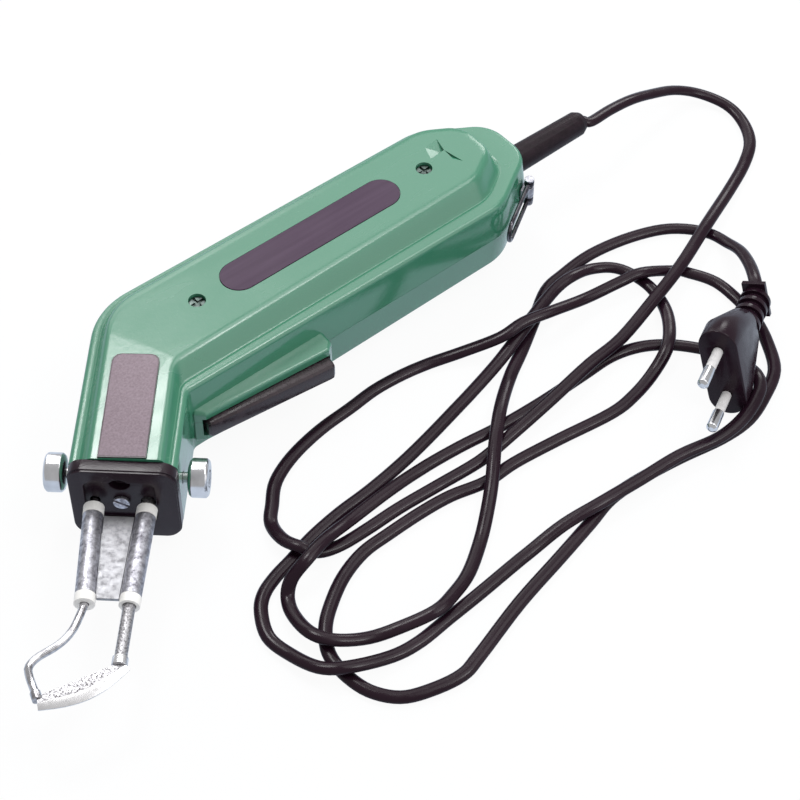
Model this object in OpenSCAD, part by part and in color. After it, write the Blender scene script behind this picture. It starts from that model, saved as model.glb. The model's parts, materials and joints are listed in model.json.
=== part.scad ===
// Bent-handle electric hot knife resting on its side, with its lead and plug.
// Table plane z = 0, handle along +X towards the cord, nose bent towards -X and -Y.

/* [Housing] */
// Length from the bend to the rear face
handle_len = 162; // [145:1:185]
// Width of the handle across its rims
handle_w = 49; // [45:1:56]
// Width of the rear face
rear_w = 20; // [18:1:24]
// Length of the tapered rear corners
rear_taper = 23.5; // [20:0.5:28]
// Thickness over both side faces
body_h = 42; // [40:1:48]
// Rim to rim height at the bend
rim_front_h = 32; // [29:1:34]
// Rim to rim height at the rear
rim_rear_h = 27; // [25:1:30]
// Rim to rim height at the nose end
rim_nose_h = 29; // [27:1:31]
// Nose length from the bend to its open end
nose_len = 48; // [44:1:58]
// Nose width
nose_w = 35; // [34:1:40]
// Angle between the nose and the handle's line
bend_angle = 47.5; // [40:0.5:55]
// Slope of the nose's side faces
nose_slope = 5.2; // [4:0.1:6]
// Shell wall
wall = 2.5; // [2:0.1:3]
// Outward draft of the handle walls at the parting plane
draft = 1.2; // [0.6:0.1:1.6]
// Softened edge of the rim
rim_edge = 1; // [0.6:0.1:1.4]
// Gap between the half shells
part_gap = 0.1; // [0.05:0.05:0.3]
// Screw thread
screw_d = 3.2; // [2.8:0.1:3.6]
// Screw head
screw_head_d = 5.6; // [5.2:0.1:6]
// Height of a screw head
screw_head_h = 2; // [1.6:0.1:2.4]
// Depth of a screw head below the face
screw_sink = 1.2; // [0.6:0.1:1.6]
// Front screw, distance behind the bend
front_screw_x = 24.5; // [22:0.5:27]
// Rear screw, distance behind the bend
rear_screw_x = 123.5; // [120:0.5:127]
// Sideways place of the screws
screw_y = 1.5; // [0:0.5:2.5]
// Screw post
post_d = 8; // [7.4:0.1:9]

/* [Labels] */
// Length of the bare name plate
plate_len = 75; // [66:1:80]
// Width of the bare name plate
plate_w = 13.6; // [12:0.2:14.4]
// Thickness of the plates
plate_t = 0.6; // [0.4:0.1:0.8]
// Distance of the name plate's middle behind the bend
plate_x = 73; // [70:0.5:75]
// Depth of the name plate's seat
plate_seat = 0.4; // [0.2:0.1:0.5]
// Nose plate width
nose_plate_w = 15; // [13:0.5:16]
// Nose plate start in front of the bend
nose_plate_from = 7.5; // [6.5:0.5:12]

/* [Trigger] */
// Length of the lever
lever_len = 48.5; // [44:0.5:49.5]
// Height of the lever
lever_h = 7.4; // [6.4:0.2:8]
// Depth of the lever at its front end
lever_front_d = 5.2; // [5:0.1:5.8]
// Depth of the lever at its rear end
lever_rear_d = 7.5; // [7:0.1:8.2]
// Front of the lever behind the bend
lever_x = 5; // [4.6:0.1:5.4]
// Lever angle to the handle when let go
lever_angle = 7; // [6:0.5:7.5]
// Lever pin
pivot_d = 2.5; // [2:0.1:2.8]
// Lever pin behind the lever's front
pivot_in = 4; // [3.6:0.1:5]
// Middle of the lever below the parting plane
lever_drop = 2.5; // [2:0.1:3]
// Wall of the guard over and under the lever
guard_t = 2.5; // [2:0.1:3]
// How far the guard stands out at its front
guard_front = 4; // [3.6:0.1:4.6]
// How far the guard stands out at its rear
guard_rear = 7.8; // [7:0.1:8.4]
// Running clearance of the lever in its guard
lever_gap = 0.35; // [0.3:0.05:0.5]
// Radial clearance of pins and plungers
pin_gap = 0.06; // [0.04:0.01:0.1]
// Switch plunger
plunger_d = 4; // [3.4:0.1:4.6]
// Plunger behind the lever pin
plunger_arm = 31; // [28:0.5:33]
// Switch body length
switch_len = 22; // [20:0.5:26]
// Switch body depth
switch_depth = 13; // [12:0.5:14]
// Switch body height
switch_h = 12; // [10:0.5:14]

/* [Nose] */
// Visible depth of the nose block
block_d = 5; // [4:0.5:7]
// Height of the nose block
block_h = 33; // [31:0.5:34]
// Corner rounding of the nose block
block_r = 5; // [4:0.5:6]
// Depth of the block's tongue in the shells
tongue_d = 2; // [1.6:0.1:2.4]
// Depth of the pocket in the block's face
pocket_d = 1.6; // [1:0.1:2]
// Sight hole in the block's face
sight_d = 7; // [6:0.5:7.5]
// Sight hole above the parting plane
sight_up = 9; // [8.4:0.1:9.6]
// Distance between the two electrodes
lead_pitch = 17.2; // [16.8:0.1:17.6]
// Round lead of the outer electrode
lead_out_d = 2.6; // [2.2:0.1:3]
// Round lead of the inner electrode
lead_in_d = 4; // [3.6:0.1:4.2]
// Terminal block length
terminal_len = 10; // [8.5:0.5:11]
// Terminal block width
terminal_w = 9; // [8.4:0.2:9.6]
// Clamp knob diameter
knob_d = 13; // [11:0.5:14]
// Clamp knob thickness
knob_t = 6.8; // [6:0.2:7.6]
// Clamp screw stud
stud_d = 3.5; // [3:0.1:4]
// Clamp screw behind the nose's end
knob_back = 7; // [6.4:0.1:7.4]
// Free length of the outer clamp screw
knob_out_gap = 3; // [2.6:0.1:4]
// Free length of the inner clamp screw
knob_in_gap = 1.8; // [1.4:0.1:3]

/* [Blade] */
// Gap between the nose block and the bushes
tube_gap = 1.4; // [1.2:0.1:1.6]
// Guard tube diameter
tube_d = 6.6; // [6.4:0.1:7]
// Guard tube length with its bushes
tube_len = 38; // [35:0.5:42]
// Length of one ceramic bush
bush_len = 3.6; // [3.2:0.1:4]
// Inward lean of the outer guard tube
tube_lean_out = 3.4; // [3:0.1:3.8]
// Inward lean of the inner guard tube
tube_lean_in = 1.4; // [1:0.1:1.8]
// Guard tube bore
tube_bore_d = 5.2; // [5:0.1:5.4]
// Thickness of the bright web plate
web_t = 1.2; // [1:0.1:1.5]
// Blade strip thickness
blade_t = 2; // [1.6:0.1:2.4]
// Width of the blade's bevelled edge
bevel_w = 3.2; // [2.6:0.1:3.6]
// Thickness at the cutting edge
edge_t = 0.4; // [0.3:0.1:0.6]
// Outer leg's corner past the tubes
leg_reach = 24.6; // [23.8:0.2:26]
// Outer leg's corner outside its tube's end
leg_spread = 13.6; // [12.6:0.1:14.2]
// Blade's outer end past the tubes
blade_far = 34.5; // [34:0.5:36]
// Blade's inner end past the tubes
blade_near = 20.6; // [20:0.1:21.6]
// Blade's outer end across from the middle
blade_out_t = 16.8; // [16:0.1:17.4]
// Blade's inner end across from the middle
blade_in_t = 7.2; // [6.8:0.1:7.6]
// Strip width at the blade's ends
blade_w = 4.5; // [4:0.1:5]
// Bow of the cutting edge
blade_bow = 3.8; // [3:0.1:4.2]

/* [Bail] */
// Bail wire
bail_d = 1.6; // [1.4:0.1:1.8]
// Bail length from its pin
bail_len = 24.5; // [23:0.5:27]
// Bail width between wire middles
bail_w = 8; // [7.6:0.2:9]
// Bail pin
bail_pin_d = 2; // [1.8:0.1:2.2]
// Bail pin's distance from the corner wall
bail_off = 2.4; // [2.2:0.1:2.8]

/* [Lead] */
// Boot diameter at the housing
boot_d = 10.4; // [10:0.1:11]
// Boot diameter at its end
boot_end_d = 9.4; // [9:0.1:10]
// Boot length outside the housing
boot_len = 37; // [34:0.5:38]
// Boot neck through the rear wall
boot_neck_d = 8; // [7.4:0.1:8.6]
// Lead width
cord_w = 4.8; // [4.6:0.1:5]
// Lead thickness
cord_t = 3; // [2.8:0.1:3]
// Height step where one strand lies on another
cord_lift = 3.4; // [3.4:0.1:3.8]

/* [Plug] */
// Pin diameter
plug_pin_d = 4; // [4:0.01:4.06]
// Pin length
plug_pin_len = 19; // [18.5:0.1:19.5]
// Pin spacing at the face
plug_pitch = 18.6; // [18.2:0.1:19]
// Sleeved length of a pin
sleeve_len = 10; // [9.5:0.1:10.5]
// Sleeve diameter
sleeve_d = 3.5; // [3.4:0.05:3.6]
// Pin core under the sleeve
plug_core_d = 2.8; // [2.6:0.1:3]
// Plug face length
plug_w = 35.3; // [34:0.1:36]
// Plug thickness
plug_t = 13.6; // [13:0.1:14]
// Plug body length
plug_len = 26; // [24:0.5:28]
// Plug rear height
plug_rear_w = 17; // [15:0.5:19]
// Plug grip length
grip_len = 18; // [16:0.5:19]
// Plug heading on the table
plug_heading = -152; // [-158:1:-146]
// Plug lean to one side
plug_roll = 18; // [14:1:20]
// Plug tip-up angle
plug_pitch_up = 7.5; // [6:0.5:8]

/* [Transformer] */
// Core length along the handle
core_len = 42; // [38:1:44]
// Core width
core_w = 34; // [30:1:36]
// Core stack height
core_h = 20; // [18:1:22]
// Core limb
core_limb = 8; // [7:0.5:9]
// Middle of the core behind the bend
core_x = 76; // [72:1:82]
// Winding bulge above the core
coil_rise = 5; // [4:0.5:6]

/* [Hidden] */
fine = 48;
over = 1;
fit = 0.15;
mid_z = body_h / 2;
half_w = handle_w / 2;
nose_half = nose_w / 2;
nose_dir = [cos(180 + bend_angle), sin(180 + bend_angle)];
nose_out = [nose_dir[1], -nose_dir[0]];
nose_far = nose_len + block_d;

// Outline of the rim seen from the side face, anticlockwise from the rear face's near corner
bend_r = 28;
corner_shares = [0.43, 0.43, 0.7, 1, 0, 0, 0.14, 0.7];
corner_r = corner_shares * bend_r;
corner_keep_shares = [0.2, 0.2, 0.5, 1, 0, 0, 0.5, 0.5];
corner_steps = [5, 5, 3, 8, 0, 0, 4, 3];
least_r = 3;
crease_s = 0;

function unit(d) = d / norm(d);
function left_of(d) = [-d[1], d[0]];
function cross2(d, e) = d[0] * e[1] - d[1] * e[0];
function meet(p, d, q, e) = p + d * (cross2(q - p, e) / cross2(d, e));
function spin(p, a) = [p[0] * cos(a) - p[1] * sin(a), p[0] * sin(a) + p[1] * cos(a)];
function turn(d, e) = atan2(cross2(d, e), d * e);
function sum_to(v, n) = n == 0 ? 0 : v[n - 1] + sum_to(v, n - 1);
function nose_xy(s, t) = nose_dir * s + nose_out * t;

outline = [
    [handle_len, -rear_w / 2],
    [handle_len, rear_w / 2],
    [handle_len - rear_taper, half_w],
    meet([0, half_w], [1, 0], nose_out * nose_half, nose_dir),
    nose_xy(nose_len, nose_half),
    nose_xy(nose_len, -nose_half),
    meet([0, -half_w], [1, 0], -nose_out * nose_half, nose_dir),
    [handle_len - rear_taper, -half_w]];
sides = len(outline);

// Inset of each edge at its two ends, ring by ring: rear, far taper, far, nose out, nose end,
// nose in, near, near taper
flush = [for (i = [0 : sides - 1]) [0, 0]];
draft_in = [for (i = [0 : sides - 1]) i >= 3 && i <= 5 ? [0, 0] : [-draft, -draft]];
edge_in = [for (i = [0 : sides - 1]) i == 4 ? [0, 0] : [rim_edge, rim_edge]];
shelf_w = 4;
ramp_w = 8;
base_shares = [[2.9, 2.9], [1.5, 1.5], [1, 0.75], [0.9, 0.9], [0, 0], [0.75, 0.75], [1, 1.55], [1.65, 1.65]];
face_shares = [[1.95, 1.95], [1.2, 1.2], [1.09, 1.09], [0.875, 0.875], [0, 0], [0.69, 0.69], [1.29, 1.54],
    [1.54, 1.54]];
base_in = base_shares * shelf_w;
face_in = face_shares * ramp_w;
brow_drop = 0.8;
brow_run = 2;
brow_shares = [1.2, 1.5, 1.5, 0.6, 0, 0.6, 1, 1];
brow_in = [for (i = [0 : sides - 1]) face_in[i] - brow_shares[i] * [brow_run, brow_run]];
inner_run = 1.2;
inner_out = [for (i = [0 : sides - 1]) i == 4 ? [-over, -over] : [wall, wall]];
inner_draft = [for (i = [0 : sides - 1]) inner_out[i] + draft_in[i]];
inner_base = [for (i = [0 : sides - 1]) i == 4 ? [-over, -over] : base_in[i] + [wall, wall]];
inner_face = [for (i = [0 : sides - 1]) i == 4 ? [-over, -over] : face_in[i] + [inner_run, inner_run]];

function edge_line(i, inset) =
    let (p = outline[i], q = outline[(i + 1) % sides], n = left_of(unit(q - p)))
    [p + n * inset[i][0], q + n * inset[i][1]];
function ring_corner(i, inset) =
    let (a = edge_line((i + sides - 1) % sides, inset), b = edge_line(i, inset))
    meet(a[0], a[1] - a[0], b[0], b[1] - b[0]);
function round_corner(p, c, q, r, steps) =
    let (d = unit(c - p), e = unit(q - c), t = turn(d, e),
        start = c - d * r * tan(abs(t) / 2), hub = start + left_of(d) * r * sign(t))
    steps == 0 ? [c] : [for (k = [0 : steps]) hub + spin(start - hub, t * k / steps)];
function ring_r(i, inset) =
    max(corner_r[i] - (i == 6 ? -1 : 1) * inset[i][0] * corner_keep_shares[i], least_r);
function ring_xy(inset) =
    let (c = [for (i = [0 : sides - 1]) ring_corner(i, inset)], line = edge_line(3, inset))
    [for (i = [0 : sides - 1]) each concat(
        round_corner(c[(i + sides - 1) % sides], c[i], c[(i + 1) % sides],
            ring_r(i, inset), corner_steps[i]),
        i == 3 ? [meet(line[0], line[1] - line[0], nose_dir * crease_s, nose_out)] : [])];
crease_i = sum_to(corner_steps, 4) + 4;
elbow_i = sum_to(corner_steps, 6) + 7 + corner_steps[6] / 2;
face_xy = ring_xy(face_in);
crease_p = face_xy[crease_i];
crease_n = -left_of(unit(face_xy[elbow_i] - crease_p));

// Heights above the parting plane
function rim_z(p) = rim_front_h / 2
    - max(0, p[0]) / handle_len * (rim_front_h - rim_rear_h) / 2
    - max(0, p * nose_dir) / nose_len * (rim_front_h - rim_nose_h) / 2;
function face_z(p) = mid_z - max(0, (p - crease_p) * crease_n) * tan(nose_slope);
function ring_flat(inset, z) = [for (p = ring_xy(inset)) [p[0], p[1], z]];
function ring_rim(inset, z) = [for (p = ring_xy(inset)) [p[0], p[1], rim_z(p) + z]];
function ring_face(inset, z) = [for (p = ring_xy(inset)) [p[0], p[1], face_z(p) + z]];

outer_rings = [ring_flat(draft_in, part_gap / 2), ring_rim(flush, -rim_edge), ring_rim(edge_in, 0),
    ring_rim(base_in, 0), ring_face(brow_in, -brow_drop), ring_face(face_in, 0)];
inner_rings = [ring_flat(inner_draft, -over), ring_rim(inner_out, -wall), ring_rim(inner_base, -wall),
    ring_face(inner_face, -wall)];

module at_mid() translate([0, 0, mid_z]) children();
module nose_frame() at_mid() rotate([0, 0, 180 + bend_angle]) children();

// Skin through matching rings; the top cap folds at the nose crease
module loft(rings) {
    n = len(rings[0]);
    last = (len(rings) - 1) * n;
    handle_cap = [for (k = [0 : n]) if (k <= crease_i || (k >= elbow_i && k < n)) last + k];
    nose_cap = [for (k = [crease_i : elbow_i]) last + k];
    polyhedron([for (r = rings) each r], concat(
        [[for (k = [0 : n - 1]) k]],
        [for (j = [0 : len(rings) - 2]) for (k = [0 : n - 1]) each [
            [j * n + k, (j + 1) * n + k, (j + 1) * n + (k + 1) % n],
            [j * n + k, (j + 1) * n + (k + 1) % n, j * n + (k + 1) % n]]],
        [[for (k = [len(handle_cap) - 1 : -1 : 0]) handle_cap[k]],
            [for (k = [len(nose_cap) - 1 : -1 : 0]) nose_cap[k]]]), convexity = 8);
}

// Box with rounded edges along X, middle of its near face at the origin
module rounded_x(l, w, h, r) {
    for (y = [-1, 1], z = [-1, 1])
        translate([0, y * (w / 2 - r), z * (h / 2 - r)])
            rotate([0, 90, 0]) cylinder(h = l, r = r, $fn = fine);
    translate([0, -w / 2, -h / 2 + r]) cube([l, w, h - 2 * r]);
    translate([0, -w / 2 + r, -h / 2]) cube([l, w - 2 * r, h]);
}
module rod_x(l, d) rotate([0, 90, 0]) cylinder(h = l, d = d, $fn = fine);
module rod_y(l, d) rotate([-90, 0, 0]) cylinder(h = l, d = d, $fn = fine);

// Round rod through plan points in the nose frame, given as distance along and across
rod_sides = 12;
function rod_way(q, k) = unit(unit(q[min(k + 1, len(q) - 1)] - q[min(k, len(q) - 2)])
    + unit(q[max(k, 1)] - q[max(k - 1, 0)]));
module nose_rod(points, d) {
    q = [for (p = points) [p[0], -p[1]]];
    n = rod_sides;
    m = (len(q) - 1) * n;
    rings = [for (k = [0 : len(q) - 1])
        let (t = rod_way(q, k), side = left_of(t),
            e = unit(q[min(k + 1, len(q) - 1)] - q[min(k, len(q) - 2)]), grow = 1 / (t * e))
        [for (j = [0 : n - 1])
            let (a = 360 * (j + 0.5) / n)
            [q[k][0] + side[0] * grow * d / 2 * cos(a), q[k][1] + side[1] * grow * d / 2 * cos(a),
                d / 2 * sin(a)]]];
    polyhedron([for (r = rings) each r], concat(
        [[for (k = [0 : n - 1]) k]], [[for (k = [0 : n - 1]) m + n - 1 - k]],
        [for (j = [0 : len(q) - 2]) for (k = [0 : n - 1]) each [
            [j * n + k, (j + 1) * n + k, (j + 1) * n + (k + 1) % n],
            [j * n + k, (j + 1) * n + (k + 1) % n, j * n + (k + 1) % n]]]));
}

// Smooth curve through points, each stretch cut into equal steps
function bend4(a, b, c, d, q) = (2 * b + (c - a) * q + (2 * a - 5 * b + 4 * c - d) * q * q
    + (3 * b - a - 3 * c + d) * q * q * q) / 2;
function smooth(p, cut) = let (last = len(p) - 1) concat(
    [for (k = [0 : last - 1]) for (j = [0 : cut - 1])
        bend4(p[max(k - 1, 0)], p[k], p[k + 1], p[min(k + 2, last)], j / cut)], [p[last]]);

// Flat strip of even width along plan points
function strip_side(q, w) = [for (k = [0 : len(q) - 1])
    let (t = rod_way(q, k), e = unit(q[min(k + 1, len(q) - 1)] - q[min(k, len(q) - 2)]))
    q[k] + left_of(t) * w / 2 / (t * e)];
module strip(q, w, h) {
    far = strip_side(q, -w);
    linear_extrude(h) polygon(concat(strip_side(q, w), [for (k = [len(far) - 1 : -1 : 0]) far[k]]));
}

// Trigger places
lever_show = 2.3;
lever_pivot_up = 5;
guard_end = 2;
guard_soft = 2.5;
lever_org = [lever_x, -(half_w + guard_front + lever_show)];
pivot = lever_org + spin([pivot_in, lever_pivot_up], -lever_angle);
lever_root_d = lever_front_d + lever_show;
slot_from = lever_x - lever_gap - over;
lever_reach = norm([lever_len - pivot_in, lever_rear_d - lever_pivot_up]);
slot_to = pivot[0] + lever_reach + lever_gap;
guard_up = lever_h / 2 + lever_gap + guard_t;
slot_up = lever_h / 2 + lever_gap;
guard_plan = [
    [slot_from - guard_end, -half_w + over],
    [slot_from - guard_end, -half_w - guard_front + guard_soft],
    [slot_from + over, -half_w - guard_front],
    [slot_to - over, -half_w - guard_rear],
    [slot_to + guard_end, -half_w - guard_rear + guard_soft],
    [slot_to + guard_end, -half_w + over]];

// Screw posts of one half, with the guard reaching up to guard_top and its slot to slot_top
module half_shell(guard_top, slot_top, post_bore) {
    difference() {
        union() {
            difference() {
                union() {
                    loft(outer_rings);
                    translate([0, 0, part_gap / 2])
                        linear_extrude(guard_top - part_gap / 2) polygon(guard_plan);
                }
                loft(inner_rings);
            }
            for (x = [front_screw_x, rear_screw_x])
                translate([x, screw_y, part_gap / 2])
                    cylinder(h = mid_z - wall / 2, d = post_d, $fn = fine);
        }
        translate([slot_from, -half_w - guard_rear - over, -over])
            cube([slot_to - slot_from, guard_rear + wall + 2 * over, slot_top + over]);
        translate([pivot[0], pivot[1], -over])
            cylinder(h = guard_top - guard_t * pin_share + over, d = pivot_d + 2 * fit, $fn = fine);
        for (x = [front_screw_x, rear_screw_x])
            translate([x, screw_y, -over]) cylinder(h = post_bore + over, d = screw_d + 2 * fit, $fn = fine);
        rotate([0, 0, 180 + bend_angle]) translate([nose_len - knob_back, -nose_w, 0])
            rod_y(2 * nose_w, stud_d + 2 * stud_gap);
        translate([handle_len - wall - over, 0, 0]) rod_x(wall + draft + 2 * over, boot_neck_d + 2 * fit);
    }
}
pin_share = 0.5;
stud_gap = 0.4;
pilot_depth = 12;
arrow_deep = 1.8;
arrow_from = 5;
arrow_rise = 2.2;
arrow_len = 8;
arrow_w = 6.3;
arrow_shares = [[0, 0], [0.81, 0.06], [1, 1], [0.25, 0.87]];
tail_shares = [[0.81, 0.06], [0.75, -0.79], [1, -1.3]];
function arrow_at(p) = [rear_screw_x + arrow_from + p[0] * arrow_len, screw_y + arrow_rise + p[1] * arrow_w];
arrow = [for (p = arrow_shares) arrow_at(p)];
arrow_tail = [for (p = tail_shares) arrow_at(p)];
seat_gap = 0.2;

module upper_shell() color([0.34, 0.55, 0.44]) at_mid() difference() {
    half_shell(guard_up - lever_drop, slot_up - lever_drop, mid_z + over);
    for (x = [front_screw_x, rear_screw_x])
        translate([x, screw_y, mid_z - screw_sink - screw_head_h])
            cylinder(h = screw_sink + screw_head_h + over, d = screw_head_d + 2 * seat_gap, $fn = fine);
    translate([plate_x, screw_y, mid_z - plate_seat])
        stadium(plate_len + 2 * seat_gap, plate_w + 2 * seat_gap, plate_seat + over);
    hull() {
        for (p = arrow) translate([p[0], p[1], mid_z]) cube([fit, fit, over]);
        translate([arrow[1][0], arrow[1][1], mid_z - arrow_deep]) cube([fit, fit, over]);
    }
    hull() {
        for (p = arrow_tail) translate([p[0], p[1], mid_z]) cube([fit, fit, over]);
        translate([arrow_tail[0][0], arrow_tail[0][1], mid_z - arrow_deep]) cube([fit, fit, over]);
    }
}
module lower_shell() color([0.34, 0.55, 0.44]) at_mid() mirror([0, 0, 1])
    half_shell(guard_up + lever_drop, slot_up + lever_drop, pilot_depth);

module stadium(l, w, h) {
    for (x = [-1, 1]) translate([x * (l - w) / 2, 0, 0]) cylinder(h = h, d = w, $fn = fine);
    translate([-(l - w) / 2, -w / 2, 0]) cube([l - w, w, h]);
}

slot_w = 1;
slot_d = 0.8;
screw_grip = 9;
module screw_head(l, d, h) {
    difference() {
        union() {
            cylinder(h = h, d = d, $fn = fine);
            translate([0, 0, -l]) cylinder(h = l + over / 2, d = screw_d - 2 * pin_gap, $fn = fine);
        }
        translate([-d / 2, -slot_w / 2, h - slot_d]) cube([d, slot_w, slot_d + over]);
    }
}
module housing_screws() color([0.55, 0.57, 0.55]) at_mid()
    for (x = [front_screw_x, rear_screw_x])
        translate([x, screw_y, mid_z - screw_sink - screw_head_h + fit])
            screw_head(mid_z - screw_sink - screw_head_h + screw_grip, screw_head_d, screw_head_h - fit);
module name_plate() color([0.3, 0.25, 0.3])
    translate([plate_x, screw_y, body_h - plate_seat]) stadium(plate_len, plate_w, plate_t);

// Thin slab lying on the sloped nose face
nose_plate_r = 3;
nose_plate_end = 0.6;
module nose_plate() {
    a = nose_plate_from;
    b = nose_len - nose_plate_end;
    h = nose_plate_w / 2;
    arc = [for (q = [0 : 3]) [cos(q * 90 / 3), sin(q * 90 / 3)] * nose_plate_r];
    st = concat([[b, -h], [b, h]],
        [for (q = [3 : -1 : 0]) [a + nose_plate_r - arc[3 - q][1], h - nose_plate_r + arc[3 - q][0]]],
        [for (q = [0 : 3]) [a + nose_plate_r - arc[3 - q][1], -h + nose_plate_r - arc[3 - q][0]]]);
    n = len(st);
    xy = [for (p = st) nose_xy(p[0], p[1])];
    color([0.6, 0.56, 0.58]) at_mid() polyhedron(
        concat([for (p = xy) [p[0], p[1], face_z(p) + part_gap]],
            [for (p = xy) [p[0], p[1], face_z(p) + part_gap + plate_t]]),
        concat([[for (k = [0 : n - 1]) n - 1 - k]], [[for (k = [0 : n - 1]) n + k]],
            [for (k = [0 : n - 1]) [k, (k + 1) % n, n + (k + 1) % n, n + k]]));
}

// Nose block with its pocket, sight hole and electrode bores
lead_shift = 1.1;
lead_t = [lead_shift + lead_pitch / 2, lead_shift - lead_pitch / 2];
lead_gap = 0.4;
tongue_in = 3.2;
pocket_w = 23;
pocket_h = 19;
pocket_up = 1.6;
sight_deep = 4;
block_soft = 0.8;
nose_screw_d = 5.4;
nose_screw_h = 1.2;
nose_screw_len = 4;
nose_screw_turn = 60;
module nose_block() color([0.1, 0.08, 0.09]) nose_frame() difference() {
    union() {
        translate([nose_len + part_gap, 0, 0])
            rounded_x(block_d - part_gap - block_soft, nose_w + 2 * part_gap, block_h, block_r);
        translate([nose_far - block_soft, 0, 0])
            rounded_x(block_soft, nose_w + 2 * part_gap - block_soft, block_h - block_soft, block_r);
        translate([nose_len - tongue_d, 0, 0])
            rounded_x(tongue_d + over, nose_w - 2 * tongue_in, rim_nose_h - 2 * tongue_in, least_r);
    }
    translate([nose_far - pocket_d, -lead_shift, pocket_up])
        rounded_x(pocket_d + over, pocket_w, pocket_h, least_r);
    translate([nose_far - pocket_d - sight_deep + over, -lead_shift, sight_up])
        rod_x(sight_deep + over, sight_d);
    translate([nose_len - tongue_d - over, -lead_t[0], 0])
        rod_x(block_d + tongue_d + 2 * over, lead_out_d + 2 * lead_gap);
    translate([nose_len - tongue_d - over, -lead_t[1], 0])
        rod_x(block_d + tongue_d + 2 * over, lead_in_d + 2 * lead_gap);
    translate([nose_len - tongue_d - over, -lead_shift, 0])
        rod_x(block_d + tongue_d + over, screw_d + 2 * fit);
}
module nose_screw() color([0.5, 0.56, 0.62]) nose_frame()
    translate([nose_far - pocket_d + fit, -lead_shift, 0]) rotate([0, 90, 0])
        rotate([0, 0, nose_screw_turn]) screw_head(nose_screw_len, nose_screw_d, nose_screw_h);

// Trigger lever, its pin and the switch it works
module lever_plan() polygon([[0, 0], [lever_len, 0], [lever_len, lever_rear_d], [over, lever_root_d],
    [0, lever_root_d - over]]);
module trigger_lever() color([0.1, 0.08, 0.09]) at_mid() difference() {
    translate([lever_org[0], lever_org[1], -lever_drop - lever_h / 2]) rotate([0, 0, -lever_angle])
        linear_extrude(lever_h) lever_plan();
    translate([pivot[0], pivot[1], -lever_drop - lever_h])
        cylinder(h = 2 * lever_h, d = pivot_d + 2 * pin_gap, $fn = fine);
}
pin_reach = lever_h / 2 + lever_gap + guard_t * pin_share - fit;
module trigger_pin() color([0.7, 0.7, 0.72]) at_mid()
    translate([pivot[0], pivot[1], -lever_drop - pin_reach])
        cylinder(h = 2 * pin_reach, d = pivot_d, $fn = fine);
plunger_x = pivot[0] + plunger_arm;
plunger_along = (plunger_x - lever_org[0] - lever_root_d * sin(lever_angle)) / cos(lever_angle);
plunger_depth = lever_root_d + (lever_rear_d - lever_root_d) * plunger_along / lever_len;
plunger_tip = lever_org[1] + plunger_depth / cos(lever_angle)
    - (plunger_x - lever_org[0]) * tan(lever_angle);
switch_inset = 1.5;
switch_y = -half_w + wall + switch_inset;
plunger_in = 4;
plunger_room = 4;
module switch_body() color([0.16, 0.16, 0.17]) at_mid() difference() {
    translate([plunger_x - switch_len / 2, switch_y, -lever_drop - switch_h / 2])
        cube([switch_len, switch_depth, switch_h]);
    translate([plunger_x, switch_y - over, -lever_drop])
        rod_y(plunger_in + plunger_room + over, plunger_d + 2 * pin_gap);
}
module switch_plunger() color([0.75, 0.2, 0.16]) at_mid()
    translate([plunger_x, plunger_tip + lever_gap + 2 * fit, -lever_drop])
        rod_y(switch_y + plunger_in - plunger_tip - lever_gap - 2 * fit, plunger_d);

// Transformer and its two secondary straps
core_side_share = 0.62;
core_mid_share = 1.25;
core_side = core_limb * core_side_share;
core_mid = core_limb * core_mid_share;
window_w = (core_w - 2 * core_side - core_mid) / 2;
coil_gap = 0.25;
module transformer_core() color([0.42, 0.43, 0.45]) at_mid() translate([core_x, 0, 0]) difference() {
    translate([-core_len / 2, -core_w / 2, -core_h / 2]) cube([core_len, core_w, core_h]);
    for (s = [-1, 1])
        translate([-core_len / 2 + core_limb, s * (core_mid + window_w) / 2 - window_w / 2, -core_h])
            cube([core_len - 2 * core_limb, window_w, 2 * core_h]);
}
module primary_coil() color([0.62, 0.33, 0.16]) at_mid() translate([core_x, 0, 0]) difference() {
    translate([-core_len / 2 + core_limb + coil_gap, -core_mid / 2 - window_w + coil_gap,
        -core_h / 2 - coil_rise])
        cube([core_len - 2 * core_limb - 2 * coil_gap, core_mid + 2 * window_w - 2 * coil_gap,
            core_h + 2 * coil_rise]);
    translate([-core_len, -core_mid / 2 - coil_gap, -core_h / 2 - coil_gap])
        cube([2 * core_len, core_mid + 2 * coil_gap, core_h + 2 * coil_gap]);
}
strap_t = 1.6;
strap_h = 8;
strap_y_shares = [1.06, -0.6];
strap_bend_shares = [0.33, 0.78];
strap_turn_shares = [0.085, 0.19];
strap_y = strap_y_shares * lead_pitch / 2;
strap_bend_x = strap_bend_shares * handle_w / 2;
strap_turn_s = strap_turn_shares * nose_len;
terminal_from = nose_len - knob_back - terminal_len / 2;
module strap(k) {
    p = [[core_x - core_len / 2 - lead_gap, strap_y[k]], [strap_bend_x[k], strap_y[k]],
        nose_xy(strap_turn_s[k], lead_t[k]), nose_xy(terminal_from - fit, lead_t[k])];
    translate([0, 0, -strap_h / 2]) strip(p, strap_t, strap_h);
}
module secondary_strap_outer() color([0.75, 0.42, 0.24]) at_mid() strap(0);
module secondary_strap_inner() color([0.75, 0.42, 0.24]) at_mid() strap(1);
module terminal(t, d, side) difference() {
    translate([terminal_from, -t - terminal_w / 2, -terminal_w / 2])
        cube([terminal_len, terminal_w, terminal_w]);
    translate([terminal_from - over, -t, 0]) rod_x(terminal_len + 2 * over, d + 2 * lead_gap);
    translate([nose_len - knob_back, side > 0 ? -t - terminal_w : -t, 0])
        rod_y(terminal_w, stud_d + 2 * pin_gap);
}
module terminal_outer() color([0.78, 0.6, 0.3]) nose_frame() terminal(lead_t[0], lead_out_d, 1);
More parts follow.
